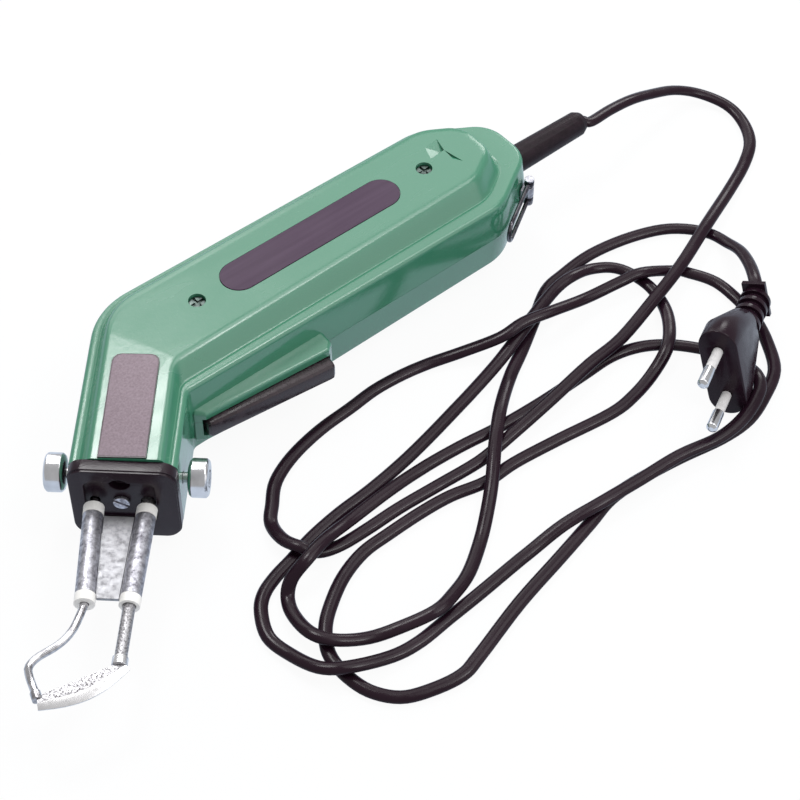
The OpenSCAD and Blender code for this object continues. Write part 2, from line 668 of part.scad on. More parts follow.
module terminal_inner() color([0.78, 0.6, 0.3]) nose_frame() terminal(lead_t[1], lead_in_d, -1);

// Clamp screws: knob and stud in one, axis across the nose
knob_rim = 0.8;
knob_groove = 0.5;
knob_hub_d = 8;
knob_dish = 0.6;
module clamp_knob(stud_l) {
    rotate([-90, 0, 0]) {
        rotate_extrude($fn = fine) polygon([
            [0, 0], [knob_hub_d / 2, 0],
            [knob_d / 2 - knob_rim, knob_groove], [knob_d / 2, knob_groove + knob_rim],
            [knob_d / 2, knob_t - knob_rim], [knob_d / 2 - knob_rim, knob_t],
            [knob_hub_d / 2, knob_t], [knob_hub_d / 2 - knob_rim, knob_t - knob_dish],
            [0, knob_t - knob_dish]]);
        translate([0, 0, -stud_l]) cylinder(h = stud_l + over / 2, d = stud_d, $fn = fine);
    }
}
knob_s = nose_len - knob_back;
stud_out_l = nose_half + knob_out_gap - lead_t[0] - lead_out_d / 2 - lead_gap;
stud_in_l = nose_half + knob_in_gap + lead_t[1] - lead_in_d / 2 - lead_gap;
module clamp_knob_outer() color([0.8, 0.8, 0.82]) nose_frame()
    translate([knob_s, -nose_half - knob_out_gap, 0]) rotate([0, 0, 180]) clamp_knob(stud_out_l);
module clamp_knob_inner() color([0.8, 0.8, 0.82]) nose_frame()
    translate([knob_s, nose_half + knob_in_gap, 0]) clamp_knob(stud_in_l);
washer_d = 9;
washer_t = 1.4;
module knob_washer() color([0.2, 0.2, 0.22]) nose_frame()
    translate([knob_s, -nose_half - seat_gap - washer_t, 0]) difference() {
        rod_y(washer_t, washer_d);
        translate([0, -over, 0]) rod_y(washer_t + 2 * over, stud_d + 2 * stud_gap);
    }

// Blade cartridge: tubes, bushes, web, legs and blade, all in the parting plane
tube_from = nose_far + tube_gap;
tube_leans = [tube_lean_out, -tube_lean_in];
bush_flange = 0.2;
bush_spigot = 3;
module tube_frame(k) translate([tube_from, -lead_t[k], 0]) rotate([0, 0, tube_leans[k]]) children();
module guard_tube(k) nose_frame() tube_frame(k) translate([bush_len, 0, 0]) difference() {
    rod_x(tube_len - 2 * bush_len, tube_d);
    translate([-over, 0, 0]) rod_x(tube_len, tube_bore_d);
}
module guard_tube_outer() color([0.72, 0.72, 0.73]) guard_tube(0);
module guard_tube_inner() color([0.72, 0.72, 0.73]) guard_tube(1);
module bush(bore) difference() {
    union() {
        rod_x(bush_len - part_gap, tube_d + bush_flange);
        rod_x(bush_len + bush_spigot, tube_bore_d - 2 * part_gap);
    }
    translate([-over, 0, 0]) rod_x(bush_len + bush_spigot + 2 * over, bore);
}
module tube_bushes() color([0.93, 0.92, 0.9]) nose_frame()
    for (k = [0, 1]) tube_frame(k) {
        bore = (k == 0 ? lead_out_d : lead_in_d) + 2 * fit;
        bush(bore);
        translate([tube_len, 0, 0]) rotate([0, 0, 180]) bush(bore);
    }
web_start = 3.8;
web_end_share = 0.6;
function tube_t(k, x) = lead_t[k] - (x - tube_from) * tan(tube_leans[k]);
function web_edge(k, x) = -tube_t(k, x)
    + sign(tube_leans[k]) * ((tube_d + bush_flange) / 2 / cos(tube_leans[k]) + part_gap);
module web_plate() color([0.85, 0.85, 0.84]) nose_frame()
    translate([0, 0, -web_t / 2]) linear_extrude(web_t) {
    a = tube_from + web_start;
    b = tube_from + tube_len - bush_len * web_end_share;
    polygon([[a, web_edge(0, a)], [b, web_edge(0, b)], [b, web_edge(1, b)], [a, web_edge(1, a)]]);
}
tube_end = tube_from + tube_len;
lead_tail_share = 0.1;
lead_tail = terminal_from + terminal_len * lead_tail_share;
blade_seat = 0.9;
strip_out_shares = [0.98, -0.22];
strip_in_shares = [0.53, -0.58];
blade_inner = [[tube_end + blade_far, blade_out_t], [tube_end + blade_near, -blade_in_t]];
blade_outer = [blade_inner[0] + strip_out_shares * blade_w, blade_inner[1] + strip_in_shares * blade_w];
leg_shares = [[0, 0], [0.15, 0.05], [0.37, 0.15], [0.54, 0.31], [0.675, 0.53], [0.79, 0.79], [0.9, 0.955],
    [1, 1], [1.12, 0.93]];
leg_points = [for (p = leg_shares) [tube_end + p[0] * leg_reach, tube_t(0, tube_end) + p[1] * leg_spread]];
leg_cut = 2;
leg_free = smooth(leg_points, leg_cut);
function past(a, b, l) = b + unit(b - a) * l;
leg_out = concat([[lead_tail, lead_t[0]], [tube_from, lead_t[0]]], leg_free,
    [past(leg_points[len(leg_points) - 1], blade_inner[0], blade_seat)]);
leg_in_root = [tube_end, tube_t(1, tube_end)];
leg_in_lean = 0.5;
leg_in_l = meet(leg_in_root, [cos(leg_in_lean), sin(leg_in_lean)], blade_inner[0],
    blade_inner[1] - blade_inner[0]);
leg_in = [[lead_tail, lead_t[1]], [tube_from, lead_t[1]], leg_in_root,
    past(leg_in_root, leg_in_l, blade_seat)];
ferrule_len = 3;
ferrule_d = 3.4;
bead_len = 3;
bead_d = 5;
module leg_tip(points, l, d, past_end = 0) {
    n = len(points);
    a = [points[n - 2][0], -points[n - 2][1]];
    b = [points[n - 1][0], -points[n - 1][1]];
    translate([b[0], b[1], 0]) rotate([0, 0, turn([1, 0], b - a)])
        translate([-l, 0, 0]) rod_x(l + past_end, d);
}
module blade_leg_outer() color([0.6, 0.6, 0.6]) nose_frame() {
    nose_rod(leg_out, lead_out_d);
    leg_tip(leg_out, ferrule_len, ferrule_d);
}
module blade_leg_inner() color([0.8, 0.8, 0.8]) nose_frame() {
    nose_rod(leg_in, lead_in_d);
    leg_tip(leg_in, bead_len, bead_d);
}
blade_steps = 12;
function blade_out(q) =
    let (d = blade_outer[1] - blade_outer[0], n = left_of(unit(d)))
    blade_outer[0] + d * q - n * (-blade_bow) * sin(180 * q);
function blade_in(q) = blade_inner[0] + (blade_inner[1] - blade_inner[0]) * q;
module cutting_blade() {
    rings = [for (k = [0 : blade_steps])
        let (q = k / blade_steps, a = blade_in(q), c = blade_out(q),
            b = c + unit(a - c) * min(bevel_w, norm(a - c) / 2))
        [[a[0], -a[1], -blade_t / 2], [b[0], -b[1], -blade_t / 2], [c[0], -c[1], -edge_t / 2],
            [c[0], -c[1], edge_t / 2], [b[0], -b[1], blade_t / 2], [a[0], -a[1], blade_t / 2]]];
    n = 6;
    m = blade_steps * n;
    color([0.85, 0.85, 0.86]) nose_frame() difference() {
        polyhedron([for (r = rings) each r], concat(
            [[for (k = [0 : n - 1]) n - 1 - k]], [[for (k = [0 : n - 1]) m + k]],
            [for (j = [0 : blade_steps - 1]) for (k = [0 : n - 1]) each [
                [j * n + k, j * n + (k + 1) % n, (j + 1) * n + (k + 1) % n],
                [j * n + k, (j + 1) * n + (k + 1) % n, (j + 1) * n + k]]]));
        leg_tip(leg_out, ferrule_len, ferrule_d + 2 * part_gap, part_gap);
        leg_tip(leg_in, bead_len, bead_d + 2 * part_gap, part_gap);
    }
}

// Wire bail on the near rear taper
taper_dir = unit(outline[0] - outline[7]);
bail_back = 7.5;
bail_up = 2.6;
bail_pin = outline[0] - taper_dir * bail_back + [taper_dir[1], -taper_dir[0]] * (draft + bail_off);
bail_barrel_h = 4.6;
bail_eye_d = 3.6;
bail_head_d = 3.4;
bail_head_h = 0.8;
bail_plate_l = 6.5;
bail_plate_t = 1;
module bail_frame() at_mid() translate([bail_pin[0], bail_pin[1], bail_up])
    rotate([0, 0, 180 + turn([1, 0], taper_dir)]) children();
module bail_bracket() color([0.7, 0.7, 0.72]) bail_frame() {
    translate([-bail_plate_l / 2, -bail_off + part_gap, -bail_barrel_h / 2])
        cube([bail_plate_l, bail_plate_t, bail_barrel_h]);
    translate([-bail_eye_d / 2, -bail_off + part_gap, -bail_barrel_h / 2])
        cube([bail_eye_d, bail_off - part_gap, bail_barrel_h]);
    translate([0, 0, -bail_barrel_h / 2]) cylinder(h = bail_barrel_h, d = bail_eye_d, $fn = fine);
    bail_top = bail_w / 2 + bail_d / 2 + lead_gap;
    translate([0, 0, -bail_top]) cylinder(h = 2 * bail_top, d = bail_pin_d, $fn = fine);
    for (s = [0, 1]) mirror([0, 0, s]) translate([0, 0, bail_top])
        cylinder(h = bail_head_h, d = bail_head_d, $fn = fine);
}
module hanger_bail() color([0.75, 0.75, 0.77]) bail_frame() difference() {
    union() {
        for (s = [-1, 1]) translate([0, 0, s * bail_w / 2]) {
            translate([0, 0, -bail_d / 2]) cylinder(h = bail_d, d = bail_eye_d, $fn = fine);
            rod_x(bail_len - bail_w / 2, bail_d);
        }
        translate([bail_len - bail_w / 2, 0, 0]) rotate([90, 0, 0]) rotate([0, 0, -90])
            rotate_extrude(angle = 180, $fn = fine) translate([bail_w / 2, 0]) circle(d = bail_d, $fn = fine);
    }
    translate([0, 0, -bail_w]) cylinder(h = 2 * bail_w, d = bail_pin_d + 2 * pin_gap, $fn = fine);
}

// Strain relief boot and cord clamp
boot_from = handle_len + draft + part_gap;
boot_to = handle_len + boot_len;
boot_seat = handle_len - wall - fit;
boot_head_d = 12;
boot_head_t = 2.4;
boot_lip = 1.2;
cord_room = 0.4;
cord_bore = cord_w + 2 * cord_room;
module cord_boot() color([0.1, 0.08, 0.09]) at_mid() rotate([0, 90, 0]) {
    rotate_extrude($fn = fine) polygon([
        [cord_bore / 2, boot_seat - boot_head_t], [boot_head_d / 2, boot_seat - boot_head_t],
        [boot_head_d / 2, boot_seat], [boot_neck_d / 2, boot_seat],
        [boot_neck_d / 2, boot_from], [boot_d / 2, boot_from], [boot_end_d / 2, boot_to - 2 * boot_lip],
        [boot_end_d / 2 - boot_lip / 2, boot_to - boot_lip], [boot_end_d / 2 - boot_lip, boot_to],
        [cord_bore / 2, boot_to]]);
}
clamp_back = 13;
clamp_x = handle_len - clamp_back;
clamp_len = 7;
clamp_w = 15;
clamp_edge_share = 0.75;
clamp_h = 2 * (rim_z([clamp_x + clamp_len / 2, 0]) - wall - seat_gap);
module cord_clamp() color([0.2, 0.2, 0.22]) at_mid() difference() {
    translate([clamp_x - clamp_len / 2, -clamp_w / 2, -clamp_h / 2]) cube([clamp_len, clamp_w, clamp_h]);
    translate([clamp_x - clamp_len, 0, 0]) rod_x(2 * clamp_len, cord_bore);
    for (s = [-1, 1]) translate([clamp_x, s * (clamp_w / 2 - screw_d * clamp_edge_share), -clamp_h])
        cylinder(h = 2 * clamp_h, d = screw_d, $fn = fine);
}

// Plug: pins along its own +X, its long face along its own Z
plug_x = 154;
plug_y = -120;
plug_z = 17.5;
module plug_frame() translate([plug_x, plug_y, plug_z])
    rotate([plug_roll, -plug_pitch_up, plug_heading]) children();
function plug_back(l) = [plug_x - l * cos(plug_heading) * cos(plug_pitch_up),
    plug_y - l * sin(plug_heading) * cos(plug_pitch_up), plug_z - l * sin(plug_pitch_up)];
pin_root = 7;
plug_face_len = 8;
plug_rear_d = 10.5;
module plug_body() color([0.1, 0.08, 0.09]) plug_frame() difference() {
    hull() for (s = [-1, 1]) {
        translate([-plug_face_len, 0, s * (plug_w - plug_t) / 2]) rotate([0, 90, 0])
            cylinder(h = plug_face_len, d = plug_t, $fn = 32);
        translate([-plug_len, 0, s * (plug_rear_w - plug_rear_d) / 2]) rotate([0, 90, 0])
            cylinder(h = over, d = plug_rear_d, $fn = 32);
    }
    for (s = [-1, 1]) translate([-pin_root - fit, 0, s * plug_pitch / 2])
        rod_x(pin_root + over, plug_core_d + 2 * fit);
}
rib_count = 4;
rib_t = 1.8;
rib_d = 11;
rib_place_share = 0.6;
grip_d = 8.4;
flange_w = 14;
module plug_grip() color([0.1, 0.08, 0.09]) plug_frame() difference() {
    union() {
        translate([-plug_len - grip_len, 0, 0]) rod_x(grip_len - part_gap, grip_d);
        for (k = [0 : rib_count - 1])
            translate([-plug_len - (k + rib_place_share) * grip_len / rib_count, 0, 0]) rod_x(rib_t, rib_d);
        translate([-plug_len - grip_len, -grip_d / 2, -flange_w / 2]) cube([rib_t, grip_d, flange_w]);
    }
    translate([-plug_len - grip_len - over, 0, 0]) rod_x(grip_len / 2 + over, cord_bore);
}
module plug_sides() plug_frame() for (s = [-1, 1]) translate([0, 0, s * plug_pitch / 2]) children();
module plug_pins() color([0.75, 0.75, 0.76]) plug_sides() {
    translate([-pin_root, 0, 0]) rod_x(pin_root + sleeve_len + over, plug_core_d);
    translate([sleeve_len, 0, 0]) rod_x(plug_pin_len - sleeve_len - plug_pin_d / 4, plug_pin_d);
    translate([plug_pin_len - plug_pin_d / 4, 0, 0]) rotate([0, 90, 0])
        cylinder(h = plug_pin_d / 4, d1 = plug_pin_d, d2 = plug_pin_d / 2, $fn = fine);
}
module plug_sleeves() color([0.88, 0.88, 0.88]) plug_sides() difference() {
    translate([part_gap, 0, 0]) rod_x(sleeve_len - 2 * part_gap, sleeve_d);
    translate([-over, 0, 0]) rod_x(sleeve_len + 2 * over, plug_core_d + 2 * part_gap);
}

// Lead as it lies: plan place and height step of each point, boot to plug
cord_path = [
    [202, -2, 5.5], [214, 0, 4.75], [226, 1, 4], [237, 1, 3], [249, 0, 1.75], [258, -5, 0.75],
    [263, -15, 0.25], [262, -25, 0], [256, -35, 0], [246, -42, 0], [231, -49, 0.25], [210, -58, 1],
    [188, -67, 1.125], [169, -73, 1.125], [147, -79, 1], [130, -81, 1.125], [109, -84, 0.875],
    [89, -86, 0.375], [74, -87, 0], [57, -86, 0], [41, -85, 0], [29, -85, 0], [16, -85, 0.25],
    [8, -83, 0.5], [4, -79, 1.125], [2, -72, 0.75], [4, -63, 0], [9, -57, 0], [16, -50, 0],
    [27, -45, 0], [41, -42, 0], [55, -41, 0], [69, -40, 0], [86, -42, 0], [100, -47, 0.5],
    [113, -53, 1.625], [123, -54, 2.125], [134, -56, 2], [150, -57, 1], [165, -59, 1],
    [174, -61, 1.125], [186, -65, 0], [190, -70, 0], [194, -79, 0], [194, -90, 0], [192, -101, 0],
    [187, -112, 0], [180, -122, 0], [169, -128, 0], [157, -132, 0], [144, -132, 0], [127, -129, 0],
    [110, -127, 0], [97, -127, 0], [85, -130, 0], [68, -134, 0], [46, -139, 0], [23, -146, 0],
    [14, -148, 0], [3, -146, 0], [-6, -142, 0], [-12, -134, 0], [-14, -124, 0], [-13, -115, 0],
    [-8, -107, 0], [-1, -101, 0], [9, -95, 0], [20, -91.5, 0], [31, -91, 0], [45, -91, 0],
    [57, -92, 0], [70, -95, 0], [83, -95, 0], [101, -97, 0], [123, -100, 0], [135, -99, 0],
    [147, -96, 0.25], [157, -92, 1.125], [167, -82, 0.625], [173, -71, 0], [174, -61, 0],
    [171, -51, 0], [163, -46, 0.25], [153, -46, 1], [144, -47, 1], [129, -52, 1.125],
    [117, -56, 0.875], [106, -59, 0.375], [89, -63, 0], [68, -68, 0], [53, -71, 0], [38, -73, 0],
    [24, -74, 0], [11, -76, 0], [0, -79, 0], [-8, -81, 0], [-15, -84, 0], [-20, -89, 0],
    [-24, -98, 0], [-23, -108, 0.25], [-20, -119, 1], [-13, -125, 1.125], [1, -129, 0.25],
    [12, -130, 0], [25, -129, 0], [39, -128, 0], [62, -126, 0], [77, -126, 0.625], [92, -128, 1.125],
    [109, -129, 1], [126, -130, 1], [142, -133, 1], [155, -132, 1.125], [167, -127, 1],
    [172, -121, 0.75], [174, -114, 0], [172, -106, 0], [167, -98, 0], [160, -90, 0], [151, -84, 0],
    [140, -81, 0], [126, -81, 0], [107, -81, 0], [89, -80, 0], [73, -78, 0], [56, -77, 0],
    [41, -78, 0.375], [24, -80, 0.75], [11, -83, 1.75], [1, -86, 2], [-6, -87, 1], [-10, -90, 0],
    [-13, -97, 0.25], [-14, -107, 1], [-10, -114, 1], [0, -119, 0.25], [11, -123, 0.5], [22, -126, 1],
    [31, -124, 0.625], [41, -120, 0.25], [53, -112, 0], [62, -105, 0.5], [70, -98, 1],
    [81, -87, 1.25], [93, -76, 0.875], [106, -66, 0], [118, -59, 0], [131, -51, 0], [144, -43, 0],
    [154, -41, 0], [169, -40, 0], [186, -43, 0], [200, -49, 0], [209, -59, 0], [210, -69, 0.5],
    [208, -77, 1.5], [203, -86, 2.5], [197, -94, 3.25]
];
boot_in = 5;
grip_in = 6;
cord_rest = 0.05;
cord_z0 = cord_t / 2 + cord_rest;
cord_pts = concat([[boot_to - boot_in, 0, mid_z], [boot_to, 0, mid_z]],
    [for (p = cord_path) [p[0], p[1], cord_z0 + p[2] * cord_lift]],
    [plug_back(plug_len + grip_len), plug_back(plug_len + grip_len - grip_in)]);
cord_cut = 2;
cord_line = [for (p = smooth(cord_pts, cord_cut)) [p[0], p[1], max(p[2], cord_z0)]];
cord_n = len(cord_line);
cord_sides = 8;
function cord_way(k) = unit(cord_line[min(k + 1, cord_n - 1)] - cord_line[max(k - 1, 0)]);
cord_len = sum_to([for (k = [1 : cord_n - 1]) norm(cord_line[k] - cord_line[k - 1])], cord_n - 1);
// Least gap of the lead to itself, strand against strand
cord_skip = 12;
function apart(p, q) = norm([(p[0] - q[0]) / cord_w, (p[1] - q[1]) / cord_w, (p[2] - q[2]) / cord_t]) - 1;
cord_gap = cord_t * min([for (i = [0 : cord_n - 1]) for (j = [i + cord_skip : 1 : cord_n - 1])
    apart(cord_line[i], cord_line[j])]);
echo(cord_len = cord_len, cord_gap = cord_gap);
cord_round = cos(180 / cord_sides);
module power_cord() {
    rings = [for (k = [0 : cord_n - 1])
        let (t = cord_way(k), s = unit([-t[1], t[0], 0]), u = cross(t, s))
        [for (j = [0 : cord_sides - 1])
            let (a = 360 * (j + 0.5) / cord_sides)
            cord_line[k] + s * cord_w / 2 / cord_round * cos(a) + u * cord_t / 2 / cord_round * sin(a)]];
    n = cord_sides;
    m = (cord_n - 1) * n;
    color([0.1, 0.08, 0.09]) polyhedron([for (r = rings) each r], concat(
        [[for (k = [0 : n - 1]) k]], [[for (k = [0 : n - 1]) m + n - 1 - k]],
        [for (j = [0 : cord_n - 2]) for (k = [0 : n - 1]) each [
            [j * n + k, (j + 1) * n + k, (j + 1) * n + (k + 1) % n],
            [j * n + k, (j + 1) * n + (k + 1) % n, j * n + (k + 1) % n]]]), convexity = 10);
}

upper_shell();
lower_shell();
housing_screws();
name_plate();
nose_plate();
nose_block();
nose_screw();
trigger_lever();
trigger_pin();
switch_body();
switch_plunger();
transformer_core();
primary_coil();
secondary_strap_outer();
secondary_strap_inner();
terminal_outer();
terminal_inner();
clamp_knob_outer();
clamp_knob_inner();
knob_washer();
guard_tube_outer();
guard_tube_inner();
tube_bushes();
web_plate();
blade_leg_outer();
blade_leg_inner();
cutting_blade();
bail_bracket();
hanger_bail();
cord_boot();
cord_clamp();
power_cord();
plug_body();
plug_grip();
plug_pins();
plug_sleeves();
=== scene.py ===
import json
import math

import bmesh
import bpy
import numpy as np
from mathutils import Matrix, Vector


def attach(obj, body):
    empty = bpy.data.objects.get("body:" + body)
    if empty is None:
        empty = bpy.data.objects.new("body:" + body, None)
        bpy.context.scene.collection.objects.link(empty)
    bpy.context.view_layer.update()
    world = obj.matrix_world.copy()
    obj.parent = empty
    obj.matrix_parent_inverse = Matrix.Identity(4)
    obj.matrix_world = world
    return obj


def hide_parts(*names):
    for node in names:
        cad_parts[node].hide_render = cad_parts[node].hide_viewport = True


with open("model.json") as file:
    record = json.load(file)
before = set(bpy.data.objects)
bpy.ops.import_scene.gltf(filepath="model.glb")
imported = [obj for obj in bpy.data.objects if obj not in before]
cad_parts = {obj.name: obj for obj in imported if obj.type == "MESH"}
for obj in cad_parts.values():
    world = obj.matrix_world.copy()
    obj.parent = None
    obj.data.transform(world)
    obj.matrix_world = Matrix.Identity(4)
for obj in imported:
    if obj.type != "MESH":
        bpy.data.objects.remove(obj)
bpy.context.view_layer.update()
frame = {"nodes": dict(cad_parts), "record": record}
mm = 0.001
record = frame["record"]
bodyOf = {node: body for body, nodes in record["behaviour"]["bodies"].items() for node in nodes}
slotOf = {part["node"]: part["material_slot"] for part in record["subparts"]}
print("frame loaded with", len(frame["nodes"]), "nodes")

shot = {  # degrees and mm
    "azimuth": -39.6, "elevation": 50.0, "spot": (-243.7, -429.1, 589.3),
    "lens": 100.0, "sensor": 36.0, "nearest": 10.0,
}


def addObject(name, data):
    made = bpy.data.objects.new(name, data)
    bpy.context.scene.collection.objects.link(made)
    return made


def aimAlong(thing, way):  # cameras and lamps look down their own -Z
    thing.rotation_euler = way.to_track_quat("-Z", "Y").to_euler()


def placeCamera():
    turn, rise = math.radians(shot["azimuth"]), math.radians(shot["elevation"])
    data = bpy.data.cameras.new("shotCamera")
    data.lens = shot["lens"]
    data.sensor_width = shot["sensor"]
    data.clip_start = shot["nearest"] * mm
    camera = addObject("shotCamera", data)
    camera.location = Vector(shot["spot"]) * mm
    aimAlong(camera, Vector((-math.sin(turn) * math.cos(rise), math.cos(turn) * math.cos(rise), -math.sin(rise))))
    bpy.context.scene.camera = camera


placeCamera()
print("camera placed")


class Wire:  # a shader socket that takes part in sums
    def __init__(self, finish, socket):
        self.finish = finish
        self.socket = socket

    def maths(self, kind, first, second):
        return self.finish.node("Math", {"operation": kind}, {0: first, 1: second})

    def __add__(self, other):
        return self.maths("ADD", self, other)

    def __radd__(self, other):
        return self.maths("ADD", other, self)

    def __sub__(self, other):
        return self.maths("SUBTRACT", self, other)

    def __rsub__(self, other):
        return self.maths("SUBTRACT", other, self)

    def __mul__(self, other):
        return self.maths("MULTIPLY", self, other)

    def __rmul__(self, other):
        return self.maths("MULTIPLY", other, self)


class Finish:  # one material under construction
    def __init__(self, name):
        self.material = bpy.data.materials.new(name)
        self.material.use_nodes = True
        self.tree = self.material.node_tree
        self.tree.nodes.clear()
        self.place = self.node("TexCoord", out="Object")

    def node(self, kind, settings=None, sockets=None, out=0):
        made = self.tree.nodes.new("ShaderNode" + kind)
        for name, value in (settings or {}).items():
            setattr(made, name, value)
        for name, value in (sockets or {}).items():
            if isinstance(value, Wire):
                self.tree.links.new(value.socket, made.inputs[name])
            else:
                made.inputs[name].default_value = value
        return Wire(self, made.outputs[out])

    def noise(self, scale, detail=4.0, rough=0.5, stretch=None):  # stretch scales each axis of the piece
        spot = self.place
        if stretch:
            spot = self.node("VectorMath", {"operation": "MULTIPLY"}, {0: self.place, 1: stretch})
        return self.node("TexNoise", None, {"Vector": spot, "Scale": scale, "Detail": detail, "Roughness": rough})

    def window(self, value, low, high, start=0.0, end=1.0):  # value from low..high to start..end, clamped
        return self.node("MapRange", None, {"Value": value, "From Min": low, "From Max": high,
                                            "To Min": start, "To Max": end})

    def blend(self, share, first, second):
        return self.node("Mix", {"data_type": "RGBA"}, {0: share, 6: first, 7: second}, out=2)

    def bump(self, height, depth, strength):
        return self.node("Bump", None, {"Height": height, "Distance": depth, "Strength": strength})

    def close(self, **sockets):
        names = {name.replace("_", " "): value for name, value in sockets.items()}
        return self.closeWith(self.node("BsdfPrincipled", None, names))

    def closeWith(self, shader):
        output = self.tree.nodes.new("ShaderNodeOutputMaterial")
        self.tree.links.new(shader.socket, output.inputs["Surface"])
        return self.material


def paint(*screen):  # screen values 0 to 255 as a shader colour
    shares = [value / 255 for value in screen]
    return [((v + 0.055) / 1.055) ** 2.4 if v > 0.04 else v / 12.92 for v in shares] + [1.0]


greenPaint = {  # grains are scale, detail, roughness and stretch, shares are low, high, start and end
    "colour": (63, 130, 103), "deep": (57, 125, 97), "dust": (94, 150, 126), "roughness": 0.24, "gloss": 1.0,
    "cloud": (9.0, 3.0), "cloudShare": (0.3, 0.7),
    "speck": (900.0, 2.0), "speckShare": (0.66, 0.8, 0.0, 0.35),
    "smear": (40.0, 5.0, 0.5, (1.0, 3.0, 1.0)), "smearChange": (0.25, 0.75, -0.05, 0.07),
    "skin": (700.0, 2.0), "skinRelief": (0.00005, 0.5),
    "wallPolish": 0.12, "wallShare": (0.02, 0.2),
}


def greenMoulding():
    made = Finish("greenMoulding")
    cloud = made.window(made.noise(*greenPaint["cloud"]), *greenPaint["cloudShare"])
    speck = made.window(made.noise(*greenPaint["speck"]), *greenPaint["speckShare"])
    tint = made.blend(cloud, paint(*greenPaint["deep"]), paint(*greenPaint["colour"]))
    tint = made.blend(speck, tint, paint(*greenPaint["dust"]))
    smear = made.window(made.noise(*greenPaint["smear"]), *greenPaint["smearChange"])
    facing = made.node("SeparateXYZ", None, {0: made.node("NewGeometry", out="Normal")}, out="Z")
    upright = 1 - made.window(facing * facing, *greenPaint["wallShare"])  # side walls are glossier than faces
    return made.close(Base_Color=tint, Specular_IOR_Level=greenPaint["gloss"],
                      Roughness=smear + greenPaint["roughness"] - upright * greenPaint["wallPolish"],
                      Normal=made.bump(made.noise(*greenPaint["skin"]), *greenPaint["skinRelief"]))


